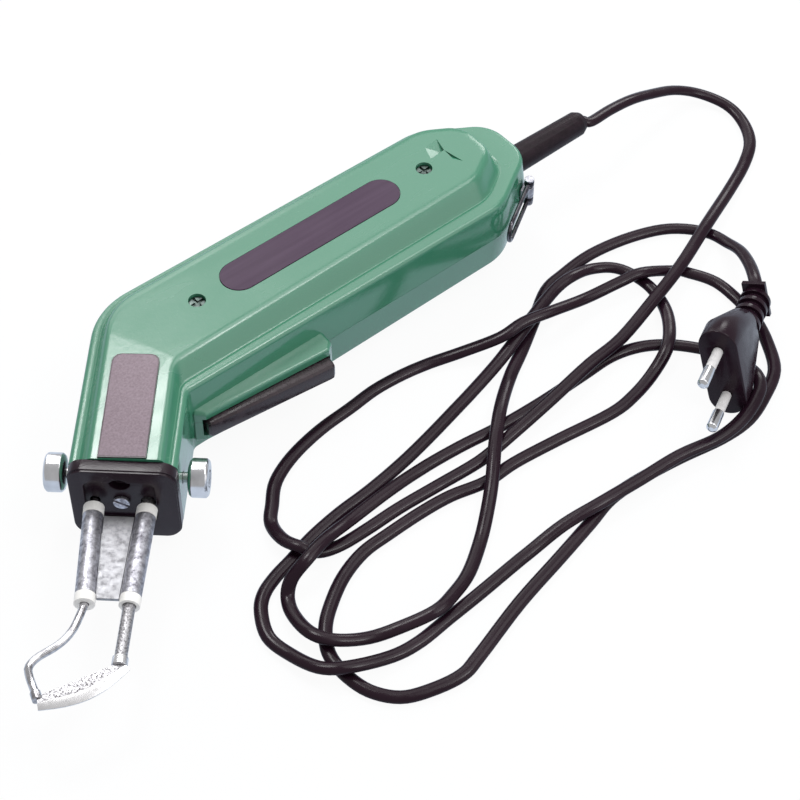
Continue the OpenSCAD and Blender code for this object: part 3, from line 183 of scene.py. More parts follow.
# in each finish the grain spreads the worn colour over the clean one, the sheen shifts the roughness,
# and the relief is a depth in m and a strength
warmAge = {"grain": (200.0, 5.0, 0.5, (0.3, 1.0, 2.0)), "wear": (0.4, 0.75), "sheen": (0.3, 0.7, -0.05, 0.2),
           "relief": (0.0002, 0.4), "metal": 1.0}
plainWear = {"grain": (420.0, 4.0), "wear": (0.42, 0.7), "sheen": (0.3, 0.7, -0.05, 0.12), "relief": (0.00004, 0.4)}
looks = {
    "blackMoulding": {"clean": (32, 17, 28), "worn": (58, 41, 52), "roughness": 0.26, "gloss": 0.3,
                      "grain": (700.0, 4.0, 0.65), "wear": (0.58, 0.8, 0.0, 0.6),
                      "sheenGrain": (60.0, 4.0), "sheen": (0.3, 0.7, -0.08, 0.1),
                      "reliefGrain": (1500.0, 2.0), "relief": (0.00006, 0.6)},
    "cableSheath": {"clean": (32, 16, 27), "worn": (46, 31, 41), "roughness": 0.2, "gloss": 0.2,
                    "grain": (30.0, 5.0), "wear": (0.5, 0.78, 0.0, 0.7),
                    "sheenGrain": (220.0, 3.0), "sheen": (0.3, 0.7, -0.06, 0.1),
                    "reliefGrain": (220.0, 3.0), "relief": (0.00006, 0.5)},
    "darkPlate": {"clean": (68, 50, 70), "worn": (76, 58, 78), "roughness": 0.5, "gloss": 0.25,
                  "grain": (300.0, 4.0, 0.5, (0.08, 2.0, 1.0)), "wear": (0.3, 0.7),
                  "sheenGrain": (50.0,), "sheen": (0.3, 0.7, -0.05, 0.08), "relief": (0.00003, 0.4)},
    "greyPlate": {"clean": (129, 114, 123), "worn": (150, 135, 144), "roughness": 0.5, "gloss": 0.2,
                  "grain": (1400.0, 3.0, 0.6), "wear": (0.3, 0.7),
                  "sheenGrain": (60.0,), "sheen": (0.3, 0.7, -0.05, 0.08), "relief": (0.00003, 0.4)},
    "polishedChrome": {"clean": (226, 226, 229), "worn": (186, 186, 190), "roughness": 0.16, "metal": 1.0,
                       "grain": (120.0, 4.0), "wear": (0.4, 0.8), "sheen": (0.3, 0.8, 0.0, 0.12),
                       "reliefGrain": (900.0, 2.0), "relief": (0.00002, 0.3)},
    "brightTube": {"clean": (208, 208, 216), "worn": (82, 78, 88), "roughness": 0.34, "metal": 1.0,
                   "grain": (520.0, 6.0, 0.7), "wear": (0.4, 0.68, 0.0, 0.9), "sheen": (0.3, 0.7, 0.0, 0.2),
                   "reliefGrain": (420.0, 4.0, 0.6), "relief": (0.00015, 0.6)},
    "brightSheet": {"clean": (172, 172, 176), "worn": (104, 102, 106), "roughness": 0.42, "metal": 1.0,
                    "grain": (520.0, 6.0, 0.65), "wear": (0.48, 0.76, 0.0, 0.55), "sheen": (0.3, 0.7, 0.0, 0.25),
                    "relief": (0.00012, 0.5)},
    "heaterSteel": {"clean": (196, 195, 198), "worn": (92, 88, 92), "roughness": 0.36, "metal": 1.0,
                    "grain": (1600.0, 3.0, 0.6), "wear": (0.46, 0.62, 0.0, 0.8), "sheen": (0.35, 0.7, 0.0, 0.3),
                    "relief": (0.00005, 0.5)},
    "whiteCeramic": {"clean": (244, 243, 240), "worn": (205, 202, 200), "roughness": 0.45,
                     "grain": (240.0, 4.0), "wear": (0.52, 0.8, 0.0, 0.6), "sheen": (0.3, 0.7, -0.08, 0.1),
                     "reliefGrain": (1200.0, 3.0), "relief": (0.0001, 0.5)},
    "paleSleeve": {"clean": (214, 212, 212), "worn": (168, 164, 168), "roughness": 0.5,
                   "grain": (300.0, 4.0), "wear": (0.5, 0.8, 0.0, 0.6), "sheen": (0.3, 0.7, -0.08, 0.1),
                   "relief": (0.0001, 0.4)},
    "copperStrap": {**warmAge, "clean": (196, 128, 92), "worn": (140, 84, 58), "roughness": 0.34},
    "turnedBrass": {**warmAge, "clean": (206, 172, 104), "worn": (150, 118, 62), "roughness": 0.28},
    "varnishedCore": {**warmAge, "clean": (92, 94, 98), "worn": (58, 58, 62), "roughness": 0.5},
    "darkScrew": {**plainWear, "clean": (104, 116, 112), "worn": (60, 68, 68), "roughness": 0.34, "metal": 1.0},
    "bailWire": {**plainWear, "clean": (112, 110, 116), "worn": (52, 48, 54), "roughness": 0.2, "metal": 1.0},
    "bootRubber": {**plainWear, "clean": (24, 11, 20), "worn": (36, 22, 31), "roughness": 0.42, "gloss": 0.2},
    "leverPlastic": {**plainWear, "clean": (36, 20, 29), "worn": (50, 34, 42), "roughness": 0.24, "gloss": 0.55},
    "bentWire": {**plainWear, "clean": (206, 205, 208), "worn": (150, 148, 152), "roughness": 0.14, "metal": 1.0},
    "groundEdge": {**plainWear, "clean": (240, 239, 240), "worn": (208, 206, 208), "roughness": 0.26, "metal": 1.0},
}


def wornFinish(name):
    look, made = looks[name], Finish(name)
    grain = made.noise(*look["grain"])
    sheen, relief = [made.noise(*look[kind]) if kind in look else grain for kind in ("sheenGrain", "reliefGrain")]
    tint = made.blend(made.window(grain, *look["wear"]), paint(*look["clean"]), paint(*look["worn"]))
    return made.close(Base_Color=tint, Metallic=look.get("metal", 0.0), Specular_IOR_Level=look.get("gloss", 0.5),
                      Roughness=made.window(sheen, *look["sheen"]) + look["roughness"],
                      Normal=made.bump(relief, *look["relief"]))


slotFinishes = {"label_dark": "darkPlate", "label_grey": "greyPlate", "black_plastic": "blackMoulding",
                "black_rubber": "cableSheath", "chrome": "polishedChrome", "steel": "brightTube",
                "blade_steel": "heaterSteel", "ceramic": "whiteCeramic", "sleeve_white": "paleSleeve",
                "copper": "copperStrap", "brass": "turnedBrass", "core_iron": "varnishedCore"}
pieceFinishes = {"web_plate": "brightSheet", "housing_screws": "darkScrew", "hanger_bail": "bailWire",
                 "cord_boot": "bootRubber", "blade_leg_outer": "bentWire", "trigger_lever": "leverPlastic"}
finishes = {slot: wornFinish(name) for slot, name in slotFinishes.items()}
finishes["housing_green"] = greenMoulding()
ownFinishes = {node: wornFinish(name) for node, name in pieceFinishes.items()}
edgeFinish = wornFinish("groundEdge")
print("finishes made:", len(finishes) + len(ownFinishes) + 1)

meshing = {"weld": 1e-7, "smoothAngle": 35.0}  # m and degrees


def newPiece(name, mesh, node, finish=None, smoothAngle=meshing["smoothAngle"]):  # rides and stands for its node
    mesh.materials.clear()
    mesh.materials.append(finish or finishes[slotOf[node]])
    mesh.shade_smooth()
    mesh.set_sharp_from_angle(angle=math.radians(smoothAngle))
    piece = addObject(name, mesh)
    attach(piece, bodyOf[node])
    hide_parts(node)
    return piece


def meshFrom(name, points, faces):  # points in mm
    mesh = bpy.data.meshes.new(name)
    mesh.from_pydata([tuple(float(c) * mm for c in p) for p in points], [], faces)
    made = bmesh.new()
    made.from_mesh(mesh)
    bmesh.ops.remove_doubles(made, verts=made.verts, dist=meshing["weld"])
    bmesh.ops.recalc_face_normals(made, faces=made.faces)
    made.to_mesh(mesh)
    made.free()
    return mesh


def bands(rings, around):  # four-sided faces between rings that follow each other
    faces = []
    for j in range(rings - 1):
        low, high = j * around, (j + 1) * around
        faces += [(low + k, low + (k + 1) % around, high + (k + 1) % around, high + k) for k in range(around)]
    return faces


def bendThrough(points, cuts):  # smooth line through the points
    p = np.asarray(points, float)
    line = []
    for k in range(len(p) - 1):
        a, b, c, d = p[max(k - 1, 0)], p[k], p[k + 1], p[min(k + 2, len(p) - 1)]
        for j in range(cuts):
            q = j / cuts
            line.append((2 * b + (c - a) * q + (2 * a - 5 * b + 4 * c - d) * q ** 2
                         + (3 * b - a - 3 * c + d) * q ** 3) / 2)
    return np.array(line + [p[-1]])


def tubeAlong(name, line, wide, high, around):  # tube that keeps its flat side level
    way = np.gradient(line, axis=0)
    way /= np.linalg.norm(way, axis=1)[:, None]
    side = np.stack([-way[:, 1], way[:, 0], np.zeros(len(way))], axis=1)
    side /= np.linalg.norm(side, axis=1)[:, None]
    up = np.cross(way, side)
    angle = ((np.arange(around) + 0.5) * 2 * math.pi / around)[:, None]
    rings = (line[:, None] + side[:, None] * (wide / 2 * np.cos(angle))
             + up[:, None] * (high / 2 * np.sin(angle)))
    last = (len(line) - 1) * around
    caps = [tuple(range(around)), tuple(range(last, last + around))]
    return meshFrom(name, rings.reshape(-1, 3), bands(len(line), around) + caps)


lead = {  # mm and degrees; one height step is the lift from a strand to the one above it
    "width": 4.8, "thickness": 3.0, "lift": 3.4, "rest": 0.05, "middle": 21.0, "bootEnd": 199.0, "bootIn": 5.0,
    "plugSpot": (154.0, -120.0, 17.5), "plugHeading": -152.0, "plugRise": 7.5, "plugBack": 44.0, "gripIn": 6.0,
    "cuts": 5, "around": 16, "smoothAngle": 60.0, "exitAt": 6,
}
leadRoute = [  # plan place in mm and height step, boot to plug
    (202, -2, 5.5), (214, 0, 4.75), (226, 1, 4), (237, 1, 3), (249, 0, 1.75), (258, -5, 0.75),
    (263, -15, 0.25), (262, -25, 0), (256, -35, 0), (246, -42, 0), (231, -49, 0.25), (210, -58, 1),
    (188, -67, 1.125), (169, -73, 1.125), (147, -79, 1), (130, -81, 1.125), (109, -84, 0.875),
    (89, -86, 0.375), (74, -87, 0), (57, -86, 0), (41, -85, 0), (29, -85, 0), (16, -85, 0.25),
    (8, -83, 0.5), (4, -79, 1.125), (2, -72, 0.75), (4, -63, 0), (9, -57, 0), (16, -50, 0),
    (27, -45, 0), (41, -42, 0), (55, -41, 0), (69, -40, 0), (86, -42, 0), (100, -47, 0.5),
    (113, -53, 1.625), (123, -54, 2.125), (134, -56, 2), (150, -57, 1), (165, -59, 1),
    (174, -61, 1.125), (186, -65, 0), (190, -70, 0), (194, -79, 0), (194, -90, 0), (192, -101, 0),
    (187, -112, 0), (180, -122, 0), (169, -128, 0), (157, -132, 0), (144, -132, 0), (127, -129, 0),
    (110, -127, 0), (97, -127, 0), (85, -130, 0), (68, -134, 0), (46, -139, 0), (23, -146, 0),
    (14, -148, 0), (3, -146, 0), (-6, -142, 0), (-12, -134, 0), (-14, -124, 0), (-13, -115, 0),
    (-8, -107, 0), (-1, -101, 0), (9, -95, 0), (20, -91.5, 0), (31, -91, 0), (45, -91, 0),
    (57, -92, 0), (70, -95, 0), (83, -95, 0), (101, -97, 0), (123, -100, 0), (135, -99, 0),
    (147, -96, 0.25), (157, -92, 1.125), (167, -82, 0.625), (173, -71, 0), (174, -61, 0),
    (171, -51, 0), (163, -46, 0.25), (153, -46, 1), (144, -47, 1), (129, -52, 1.125),
    (117, -56, 0.875), (106, -59, 0.375), (89, -63, 0), (68, -68, 0), (53, -71, 0), (38, -73, 0),
    (24, -74, 0), (11, -76, 0), (0, -79, 0), (-8, -81, 0), (-15, -84, 0), (-20, -89, 0),
    (-24, -98, 0), (-23, -108, 0.25), (-20, -119, 1), (-13, -125, 1.125), (1, -129, 0.25),
    (12, -130, 0), (25, -129, 0), (39, -128, 0), (62, -126, 0), (77, -126, 0.625), (92, -128, 1.125),
    (109, -129, 1), (126, -130, 1), (142, -133, 1), (155, -132, 1.125), (167, -127, 1),
    (172, -121, 0.75), (174, -114, 0), (172, -106, 0), (167, -98, 0), (160, -90, 0), (151, -84, 0),
    (140, -81, 0), (126, -81, 0), (107, -81, 0), (89, -80, 0), (73, -78, 0), (56, -77, 0),
    (41, -78, 0.375), (24, -80, 0.75), (11, -83, 1.75), (1, -86, 2), (-6, -87, 1), (-10, -90, 0),
    (-13, -97, 0.25), (-14, -107, 1), (-10, -114, 1), (0, -119, 0.25), (11, -123, 0.5), (22, -126, 1),
    (31, -124, 0.625), (41, -120, 0.25), (53, -112, 0), (62, -105, 0.5), (70, -98, 1),
    (81, -87, 1.25), (93, -76, 0.875), (106, -66, 0), (118, -59, 0), (131, -51, 0), (144, -43, 0),
    (154, -41, 0), (169, -40, 0), (186, -43, 0), (200, -49, 0), (209, -59, 0), (210, -69, 0.5),
    (208, -77, 1.5), (203, -86, 2.5), (197, -94, 3.25)
]


def plugBehind(distance):
    heading, rise = math.radians(lead["plugHeading"]), math.radians(lead["plugRise"])
    way = np.array([math.cos(heading) * math.cos(rise), math.sin(heading) * math.cos(rise), math.sin(rise)])
    return np.array(lead["plugSpot"]) - way * distance


def layLead():
    low = lead["thickness"] / 2 + lead["rest"]
    start = [(lead["bootEnd"] - lead["bootIn"], 0, lead["middle"]), (lead["bootEnd"], 0, lead["middle"])]
    middle = [(x, y, low + step * lead["lift"]) for x, y, step in leadRoute]
    end = [plugBehind(lead["plugBack"]), plugBehind(lead["plugBack"] - lead["gripIn"])]
    line = bendThrough(start + middle + end, lead["cuts"])
    line[:, 2] = np.maximum(line[:, 2], low)
    mesh = tubeAlong("leadSheath", line, lead["width"], lead["thickness"], lead["around"])
    piece = newPiece("leadSheath", mesh, "power_cord", smoothAngle=lead["smoothAngle"])
    length = np.linalg.norm(np.diff(line, axis=0), axis=1).sum() * mm
    return piece, line * mm, length


sheath, sheathLine, sheathLength = layLead()
print("lead laid:", round(sheathLength, 3), "m")


def carve(piece, cutter, kind="DIFFERENCE"):  # boolean with a throw-away mesh
    tool = addObject("tool", cutter)
    step = piece.modifiers.new("carve", "BOOLEAN")
    step.operation = kind
    step.object = tool
    step.solver = "MANIFOLD"
    graph = bpy.context.evaluated_depsgraph_get()
    result = bpy.data.meshes.new_from_object(piece.evaluated_get(graph))
    piece.modifiers.clear()
    piece.data = result
    bpy.data.objects.remove(tool)


def prism(name, plan, one, other):  # upright prism over plan points, between two heights
    n = len(plan)
    points = [(x, y, z) for z in sorted((one, other)) for x, y in plan]
    return meshFrom(name, points, [tuple(range(n)), tuple(range(n, 2 * n))] + bands(2, n))


def disc(x, y, radius, around=48):
    turns = [2 * math.pi * k / around for k in range(around)]
    return [(x + radius * math.cos(a), y + radius * math.sin(a)) for a in turns]


def stadium(x, y, length, width, cuts=24):  # plate with round ends
    half = (length - width) / 2
    turns = [math.pi * k / cuts - math.pi / 2 for k in range(cuts + 1)]
    return ([(x + half + width / 2 * math.cos(a), y + width / 2 * math.sin(a)) for a in turns]
            + [(x - half - width / 2 * math.cos(a), y - width / 2 * math.sin(a)) for a in turns])


def hullOf(name, points):
    made = bmesh.new()
    for p in points:
        made.verts.new([c * mm for c in p])
    bmesh.ops.convex_hull(made, input=made.verts)
    bmesh.ops.recalc_face_normals(made, faces=made.faces)
    mesh = bpy.data.meshes.new(name)
    made.to_mesh(mesh)
    made.free()
    return mesh


housing = {  # mm and degrees, as the solids have them; lists go by corner or side of the outline
    "handleLength": 162.0, "handleWidth": 49.0, "rearWidth": 20.0, "rearTaper": 23.5, "middle": 21.0,
    "rimFront": 32.0, "rimRear": 27.0, "rimNose": 29.0, "rimEdge": 1.0, "split": 0.05,
    "noseLength": 48.0, "noseWidth": 35.0, "noseSlope": 5.2, "bend": 47.5, "bendRound": 28.0, "leastRound": 3.0,
    "wall": 2.5, "draft": 1.2, "shelf": 4.0, "ramp": 8.0, "brow": 0.8, "browRun": 2.0, "innerRun": 1.2,
    "over": 1.0,  # how far a cutter stands past what it cuts
    "lipRun": 0.9, "lipDrop": 0.5,  # inner edge of the rim, down to the valley
    "capRun": 2.0, "softRuns": [0, 0.7, 0.7, 0.6, 2.0, 3.0, 3.0, 0], "sharpAngle": 14.0,
    "cornerShares": [0.43, 0.43, 0.7, 1, 0, 0, 0.14, 0.7], "cornerKeep": [0.2, 0.2, 0.5, 1, 0, 0, 0.5, 0.5],
    "cornerCuts": [12, 12, 10, 24, 0, 0, 8, 10], "browShares": [1.2, 1.5, 1.5, 0.6, 0, 0.6, 1, 1],
    "shelfShares": [[2.9, 2.9], [1.5, 1.5], [1, 0.75], [0.9, 0.9], [0, 0], [0.75, 0.75], [1, 1.55],
                    [1.65, 1.65]],
    "rampShares": [[1.95, 1.95], [1.2, 1.2], [1.09, 1.09], [0.875, 0.875], [0, 0], [0.69, 0.69],
                   [1.29, 1.54], [1.54, 1.54]],
}
bendCorner, elbowCorner = 3, 6  # where the outline turns from handle to nose, outside and inside
noseFront, noseSides = 4, (3, 5)  # the open end and the two long sides of the nose
bendTurn = math.radians(180 + housing["bend"])
noseDir = np.array([math.cos(bendTurn), math.sin(bendTurn)])
noseOut = np.array([noseDir[1], -noseDir[0]])
noseEnd, halfHandle, halfNose = housing["noseLength"], housing["handleWidth"] / 2, housing["noseWidth"] / 2


def noseSpot(along, across):  # a place in the nose's own directions, at mid height
    return (*(noseDir * along + noseOut * across), housing["middle"])


def unit(d):
    return d / np.linalg.norm(d)


def cross2(d, e):
    return d[0] * e[1] - d[1] * e[0]


def meet(p, d, q, e):  # where two lines cross
    return p + d * (cross2(q - p, e) / cross2(d, e))


def housingOutline():
    long, taper, rear = housing["handleLength"], housing["rearTaper"], housing["rearWidth"] / 2
    ahead = np.array([1.0, 0.0])
    return [np.array(p, float) for p in (
        (long, -rear), (long, rear), (long - taper, halfHandle),
        meet(np.array([0, halfHandle]), ahead, noseOut * halfNose, noseDir),
        noseDir * noseEnd + noseOut * halfNose, noseDir * noseEnd - noseOut * halfNose,
        meet(np.array([0, -halfHandle]), ahead, -noseOut * halfNose, noseDir), (long - taper, -halfHandle))]


outline = housingOutline()
sideCount = len(outline)


def edgeLine(i, inset):
    p, q = outline[i], outline[(i + 1) % sideCount]
    d = unit(q - p)
    n = np.array([-d[1], d[0]])
    return p + n * inset[i][0], q + n * inset[i][1]


def cornerArc(i, corners, inset):  # the round at one corner of an inset outline
    cuts = housing["cornerCuts"][i]
    shrink = inset[i][0] * housing["cornerKeep"][i] * (-1 if i == elbowCorner else 1)
    radius = max(housing["cornerShares"][i] * housing["bendRound"] - shrink, housing["leastRound"])
    d, e = unit(corners[i] - corners[i - 1]), unit(corners[(i + 1) % sideCount] - corners[i])
    turn = math.atan2(cross2(d, e), d @ e)
    start = corners[i] - d * radius * math.tan(abs(turn) / 2)
    hub = start + np.array([-d[1], d[0]]) * radius * np.sign(turn)
    arm = start - hub
    arc = []
    for k in range(cuts + 1):
        c, s = math.cos(turn * k / cuts), math.sin(turn * k / cuts)
        arc.append(hub + np.array([arm[0] * c - arm[1] * s, arm[0] * s + arm[1] * c]))
    return arc


def ringPlan(inset):
    corners = []
    for i in range(sideCount):
        a, b = edgeLine((i - 1) % sideCount, inset), edgeLine(i, inset)
        corners.append(meet(a[0], a[1] - a[0], b[0], b[1] - b[0]))
    ring = []
    for i in range(sideCount):
        ring += cornerArc(i, corners, inset) if housing["cornerCuts"][i] else [corners[i]]
        if i == bendCorner:  # crease between handle and nose faces
            a, b = edgeLine(i, inset)
            ring.append(meet(a, b - a, np.zeros(2), noseOut))
    return np.array(ring)


def insets(values, nose=0.0, sidesKept=()):  # one pair of insets for the ends of each side
    made = [[0.0, 0.0] if i in sidesKept else list(values[i]) for i in range(sideCount)]
    made[noseFront] = [nose, nose]
    return made


def scaled(shares, size):
    return [[v * size for v in pair] for pair in shares]


def shifted(pairs, run):
    return [[v + run for v in pair] for pair in pairs]


cornerCuts = housing["cornerCuts"]
creaseAt = sum(cornerCuts[:bendCorner + 1]) + bendCorner + 1
elbowAt = sum(cornerCuts[:elbowCorner]) + elbowCorner + 1 + cornerCuts[elbowCorner] // 2
baseIn = scaled(housing["shelfShares"], housing["shelf"])
faceIn = scaled(housing["rampShares"], housing["ramp"])
facePlan = ringPlan(insets(faceIn))
creaseSpot = facePlan[creaseAt]
creaseWay = unit(facePlan[elbowAt] - creaseSpot)
creaseNormal = np.array([creaseWay[1], -creaseWay[0]])


def ringAt(inset, height):  # a ring of places, with its height worked out for each
    plan = ringPlan(inset)
    return np.column_stack([plan, [height(p) for p in plan]])


def flatRing(inset, z):
    return ringAt(inset, lambda p: z)


def rimRing(inset, rise):  # the rim falls from the bend to the rear and to the nose
    front, rear, nose = housing["rimFront"] / 2, housing["rimRear"] / 2, housing["rimNose"] / 2
    return ringAt(inset, lambda p: front - max(0, p[0]) / housing["handleLength"] * (front - rear)
                  - max(0, p @ noseDir) / noseEnd * (front - nose) + rise)


def faceRing(inset, rise):  # the face is level on the handle and slopes away on the nose
    slope = math.tan(math.radians(housing["noseSlope"]))
    return ringAt(inset, lambda p: housing["middle"] - max(0, (p - creaseSpot) @ creaseNormal) * slope + rise)


def softened(rings, runs, cuts=6, least=1e-6):  # rounds the profile at each ring over a run in mm
    out = [rings[0]]
    for k in range(1, len(rings) - 1):
        r = rings[k]
        ends = []
        for other in (rings[k - 1], rings[k + 1]):
            gap = np.linalg.norm(other - r, axis=1)[:, None]
            ends.append(r + (other - r) * np.minimum(0.5, runs[k] / np.maximum(gap, least)))
        out += [(1 - q) ** 2 * ends[0] + 2 * q * (1 - q) * r + q * q * ends[1]
                for q in np.linspace(0, 1, cuts + 1)]
    return out + [rings[-1]]


def loft(name, rings, flip):  # closed skin through rings, its cap folded at the crease
    n = len(rings[0])
    last = (len(rings) - 1) * n
    handleCap = [last + k for k in range(n) if k <= creaseAt or k >= elbowAt]
    noseCap = [last + k for k in range(creaseAt, elbowAt + 1)]
    points = np.vstack(rings).copy()
    points[:, 2] = housing["middle"] + points[:, 2] * (-1 if flip else 1)
    return meshFrom(name, points, [tuple(range(n)), tuple(handleCap), tuple(noseCap)] + bands(len(rings), n))


trigger = {  # mm
    "slotFrom": 3.65, "slotTo": 54.5, "slotOut": 9.0, "upperSlot": 1.55, "lowerSlot": 6.55,
    "guardFront": 4.0, "guardRear": 7.8, "guardEnd": 2.0, "guardTurn": 1.0, "guardSoft": 2.5,
    "upperGuard": 4.05, "lowerGuard": 9.05, "guardLift": 1.6, "guardDrop": 0.9,
    "edgeRound": 1.2, "edgeCuts": 8, "edgeProfile": 0.5, "touch": 0.01,
}
screws = {"x": (24.5, 123.5), "y": 1.5, "headSeat": 6.0, "seatDepth": 3.2, "post": 8.0, "hole": 3.5, "reach": 12.0,
          "sunk": 1.2, "slot": 1.0, "cross": 5.0, "slotDepth": 0.8}
namePlate = {"x": 73.0, "length": 75.4, "width": 14.0, "seat": 0.4}
arrow = {"x": 128.5, "y": 3.7, "length": 8.0, "width": 6.3, "depth": 1.8,
         "head": [[0, 0], [0.81, 0.06], [1, 1], [0.25, 0.87]], "headDeepest": 1,
         "tail": [[0.81, 0.06], [0.75, -0.79], [1, -1.3]], "tailDeepest": 0}
studHole = {"along": 41.0, "width": 4.3, "reach": 35.0}
bootHole = {"width": 8.3, "out": 4.0}


def guardPrism(top):  # trigger guard, up to a height over or under the parting plane
    near, mid, over = -halfHandle, housing["middle"], housing["over"]
    front, rear = trigger["slotFrom"] - trigger["guardEnd"], trigger["slotTo"] + trigger["guardEnd"]
    frontOut, rearOut = near - trigger["guardFront"], near - trigger["guardRear"]
    plan = [(front, near + over), (front, frontOut + trigger["guardSoft"]),
            (trigger["slotFrom"] + trigger["guardTurn"], frontOut),
            (trigger["slotTo"] - trigger["guardTurn"], rearOut),
            (rear, rearOut + trigger["guardSoft"]), (rear, near + over)]
    mesh = prism("guard", plan, mid + math.copysign(housing["split"], top), mid + top)
    made = bmesh.new()
    made.from_mesh(mesh)
    outer = [v for v in made.verts if abs(v.co.z / mm - mid - top) < trigger["touch"]]
    for v in outer:  # the top falls towards the outer edge
        share = (near + over - v.co.y / mm) / (trigger["guardRear"] + over)
        rise = trigger["guardLift"] * (1 - share) - trigger["guardDrop"] * share
        v.co.z += math.copysign(rise, top) * mm
    rims = [e for e in made.edges if all(v in outer for v in e.verts)]
    bmesh.ops.bevel(made, geom=rims, offset=trigger["edgeRound"] * mm, segments=trigger["edgeCuts"],
                    profile=trigger["edgeProfile"], affect="EDGES")
    made.to_mesh(mesh)
    made.free()
    return mesh


def rodThrough(start, end, radius, around=32):  # plain round cutter between two places
    aside = (0.3, 0.2, 1.0)  # a way that no cutter runs along
    a, b = np.array(start, float), np.array(end, float)
    way = unit(b - a)
    side = unit(np.cross(way, aside))
    up = np.cross(way, side)
    turn = np.arange(around) * 2 * math.pi / around
    ring = radius * (np.cos(turn)[:, None] * side + np.sin(turn)[:, None] * up)
    caps = [tuple(range(around)), tuple(range(around, 2 * around))]
    return meshFrom("rod", np.vstack([a + ring, b + ring]), caps + bands(2, around))


def outerRings():
    edge, brow = housing["rimEdge"], housing["browRun"]
    browIn = [[v - share * brow for v in pair] for pair, share in zip(faceIn, housing["browShares"])]
    draftIn = insets([[-housing["draft"]] * 2] * sideCount, sidesKept=noseSides)
    return softened([
        flatRing(draftIn, housing["split"]),
        rimRing(insets([[0.0, 0.0]] * sideCount), -edge), rimRing(insets([[edge, edge]] * sideCount), 0),
        rimRing(insets(shifted(baseIn, -housing["lipRun"])), 0), rimRing(insets(baseIn), -housing["lipDrop"]),
        faceRing(insets(browIn), -housing["brow"]), faceRing(insets(faceIn), 0),
        faceRing(insets(shifted(faceIn, housing["capRun"])), 0)], housing["softRuns"])


def hollowRings():
    wall, over = housing["wall"], housing["over"]
    foot = [[wall - (0 if i in noseSides else housing["draft"])] * 2 for i in range(sideCount)]
    return [flatRing(insets(foot, -over), -over), rimRing(insets([[wall, wall]] * sideCount, -over), -wall),
            rimRing(insets(shifted(baseIn, wall), -over), -wall),
            faceRing(insets(shifted(faceIn, housing["innerRun"]), -over), -wall)]


def cutFace(piece, face):  # screw seats, label seat and arrow of the upper face
    above = face + housing["over"]
    for x in screws["x"]:
        carve(piece, prism("seat", disc(x, screws["y"], screws["headSeat"] / 2), face - screws["seatDepth"], above))
    plate = stadium(namePlate["x"], screws["y"], namePlate["length"], namePlate["width"])
    carve(piece, prism("plateSeat", plate, face - namePlate["seat"], above))
    for part in ("head", "tail"):
        plan = [(arrow["x"] + a * arrow["length"], arrow["y"] + b * arrow["width"]) for a, b in arrow[part]]
        points = [(x, y, z) for x, y in plan for z in (face, above)]
        carve(piece, hullOf("arrow", points + [(*plan[arrow[part + "Deepest"]], face - arrow["depth"])]))


def shellHalf(name, node, flip):
    sign = -1 if flip else 1
    half = "lower" if flip else "upper"
    wall, over, mid = housing["wall"], housing["over"], housing["middle"]
    face = mid + sign * mid
    piece = newPiece(name, loft(name, outerRings(), flip), node)
    carve(piece, guardPrism(sign * trigger[half + "Guard"]), "UNION")
    carve(piece, loft("hollow", hollowRings(), flip))
    for x in screws["x"]:
        post, bore = [disc(x, screws["y"], screws[width] / 2) for width in ("post", "hole")]
        carve(piece, prism("post", post, mid + sign * housing["split"], face - sign * wall / 2), "UNION")
        carve(piece, prism("bore", bore, mid - sign * over, mid - screws["reach"] if flip else face + over))
    near, far = -halfHandle - trigger["slotOut"], -halfHandle + wall + over
    front, back = trigger["slotFrom"], trigger["slotTo"]
    slot = [(front, near), (back, near), (back, far), (front, far)]
    carve(piece, prism("slot", slot, mid - sign * over, mid + sign * trigger[half + "Slot"]))
    ends = [noseSpot(studHole["along"], side * studHole["reach"]) for side in (-1, 1)]
    carve(piece, rodThrough(*ends, studHole["width"] / 2))
    rear = housing["handleLength"]
    carve(piece, rodThrough((rear - wall - over, 0, mid), (rear + bootHole["out"], 0, mid), bootHole["width"] / 2))
    if not flip:
        cutFace(piece, face)
    piece.data.shade_smooth()
    piece.data.set_sharp_from_angle(angle=math.radians(housing["sharpAngle"]))
    return piece


upperHalf = shellHalf("upperHalf", "upper_shell", False)
lowerHalf = shellHalf("lowerHalf", "lower_shell", True)
print("housing halves:", len(upperHalf.data.polygons), len(lowerHalf.data.polygons), "faces")

edgeRounds = {  # mm
    "nose_block": 1.0, "trigger_lever": 2.0, "name_plate": 0.15, "nose_plate": 0.15, "clamp_knob_outer": 0.3,
    "clamp_knob_inner": 0.3, "knob_washer": 0.2, "tube_bushes": 0.3, "guard_tube_outer": 0.1,
    "guard_tube_inner": 0.1, "web_plate": 0.2, "housing_screws": 0.15, "nose_screw": 0.15, "bail_bracket": 0.2,
    "hanger_bail": 0.1, "cord_boot": 0.5, "plug_body": 0.8, "plug_grip": 0.4, "plug_pins": 0.25,
    "plug_sleeves": 0.1, "cutting_blade": 0.15, "blade_leg_inner": 0.15, "blade_leg_outer": 0.1,
}
rounding = {"weld": 1e-6, "flat": 0.6, "sharp": 38.0, "cuts": 3, "profile": 0.6}  # m, degrees, degrees
leverReach = {"upTo": 6.5, "out": 0.9}  # mm
bladeLook = {"flank": 0.993, "ferrule": 3.2}  # least upright share of a flank's normal, mm


def leverForm(solid):  # without the pin's bore, which would hold the rounding back
    mesh = hullOf("trigger_lever", [v.co / mm for v in solid.vertices])
    for v in mesh.vertices:  # its front end reaches close to the guard
        v.co.x -= leverReach["out"] * mm if v.co.x < leverReach["upTo"] * mm else 0
    return mesh


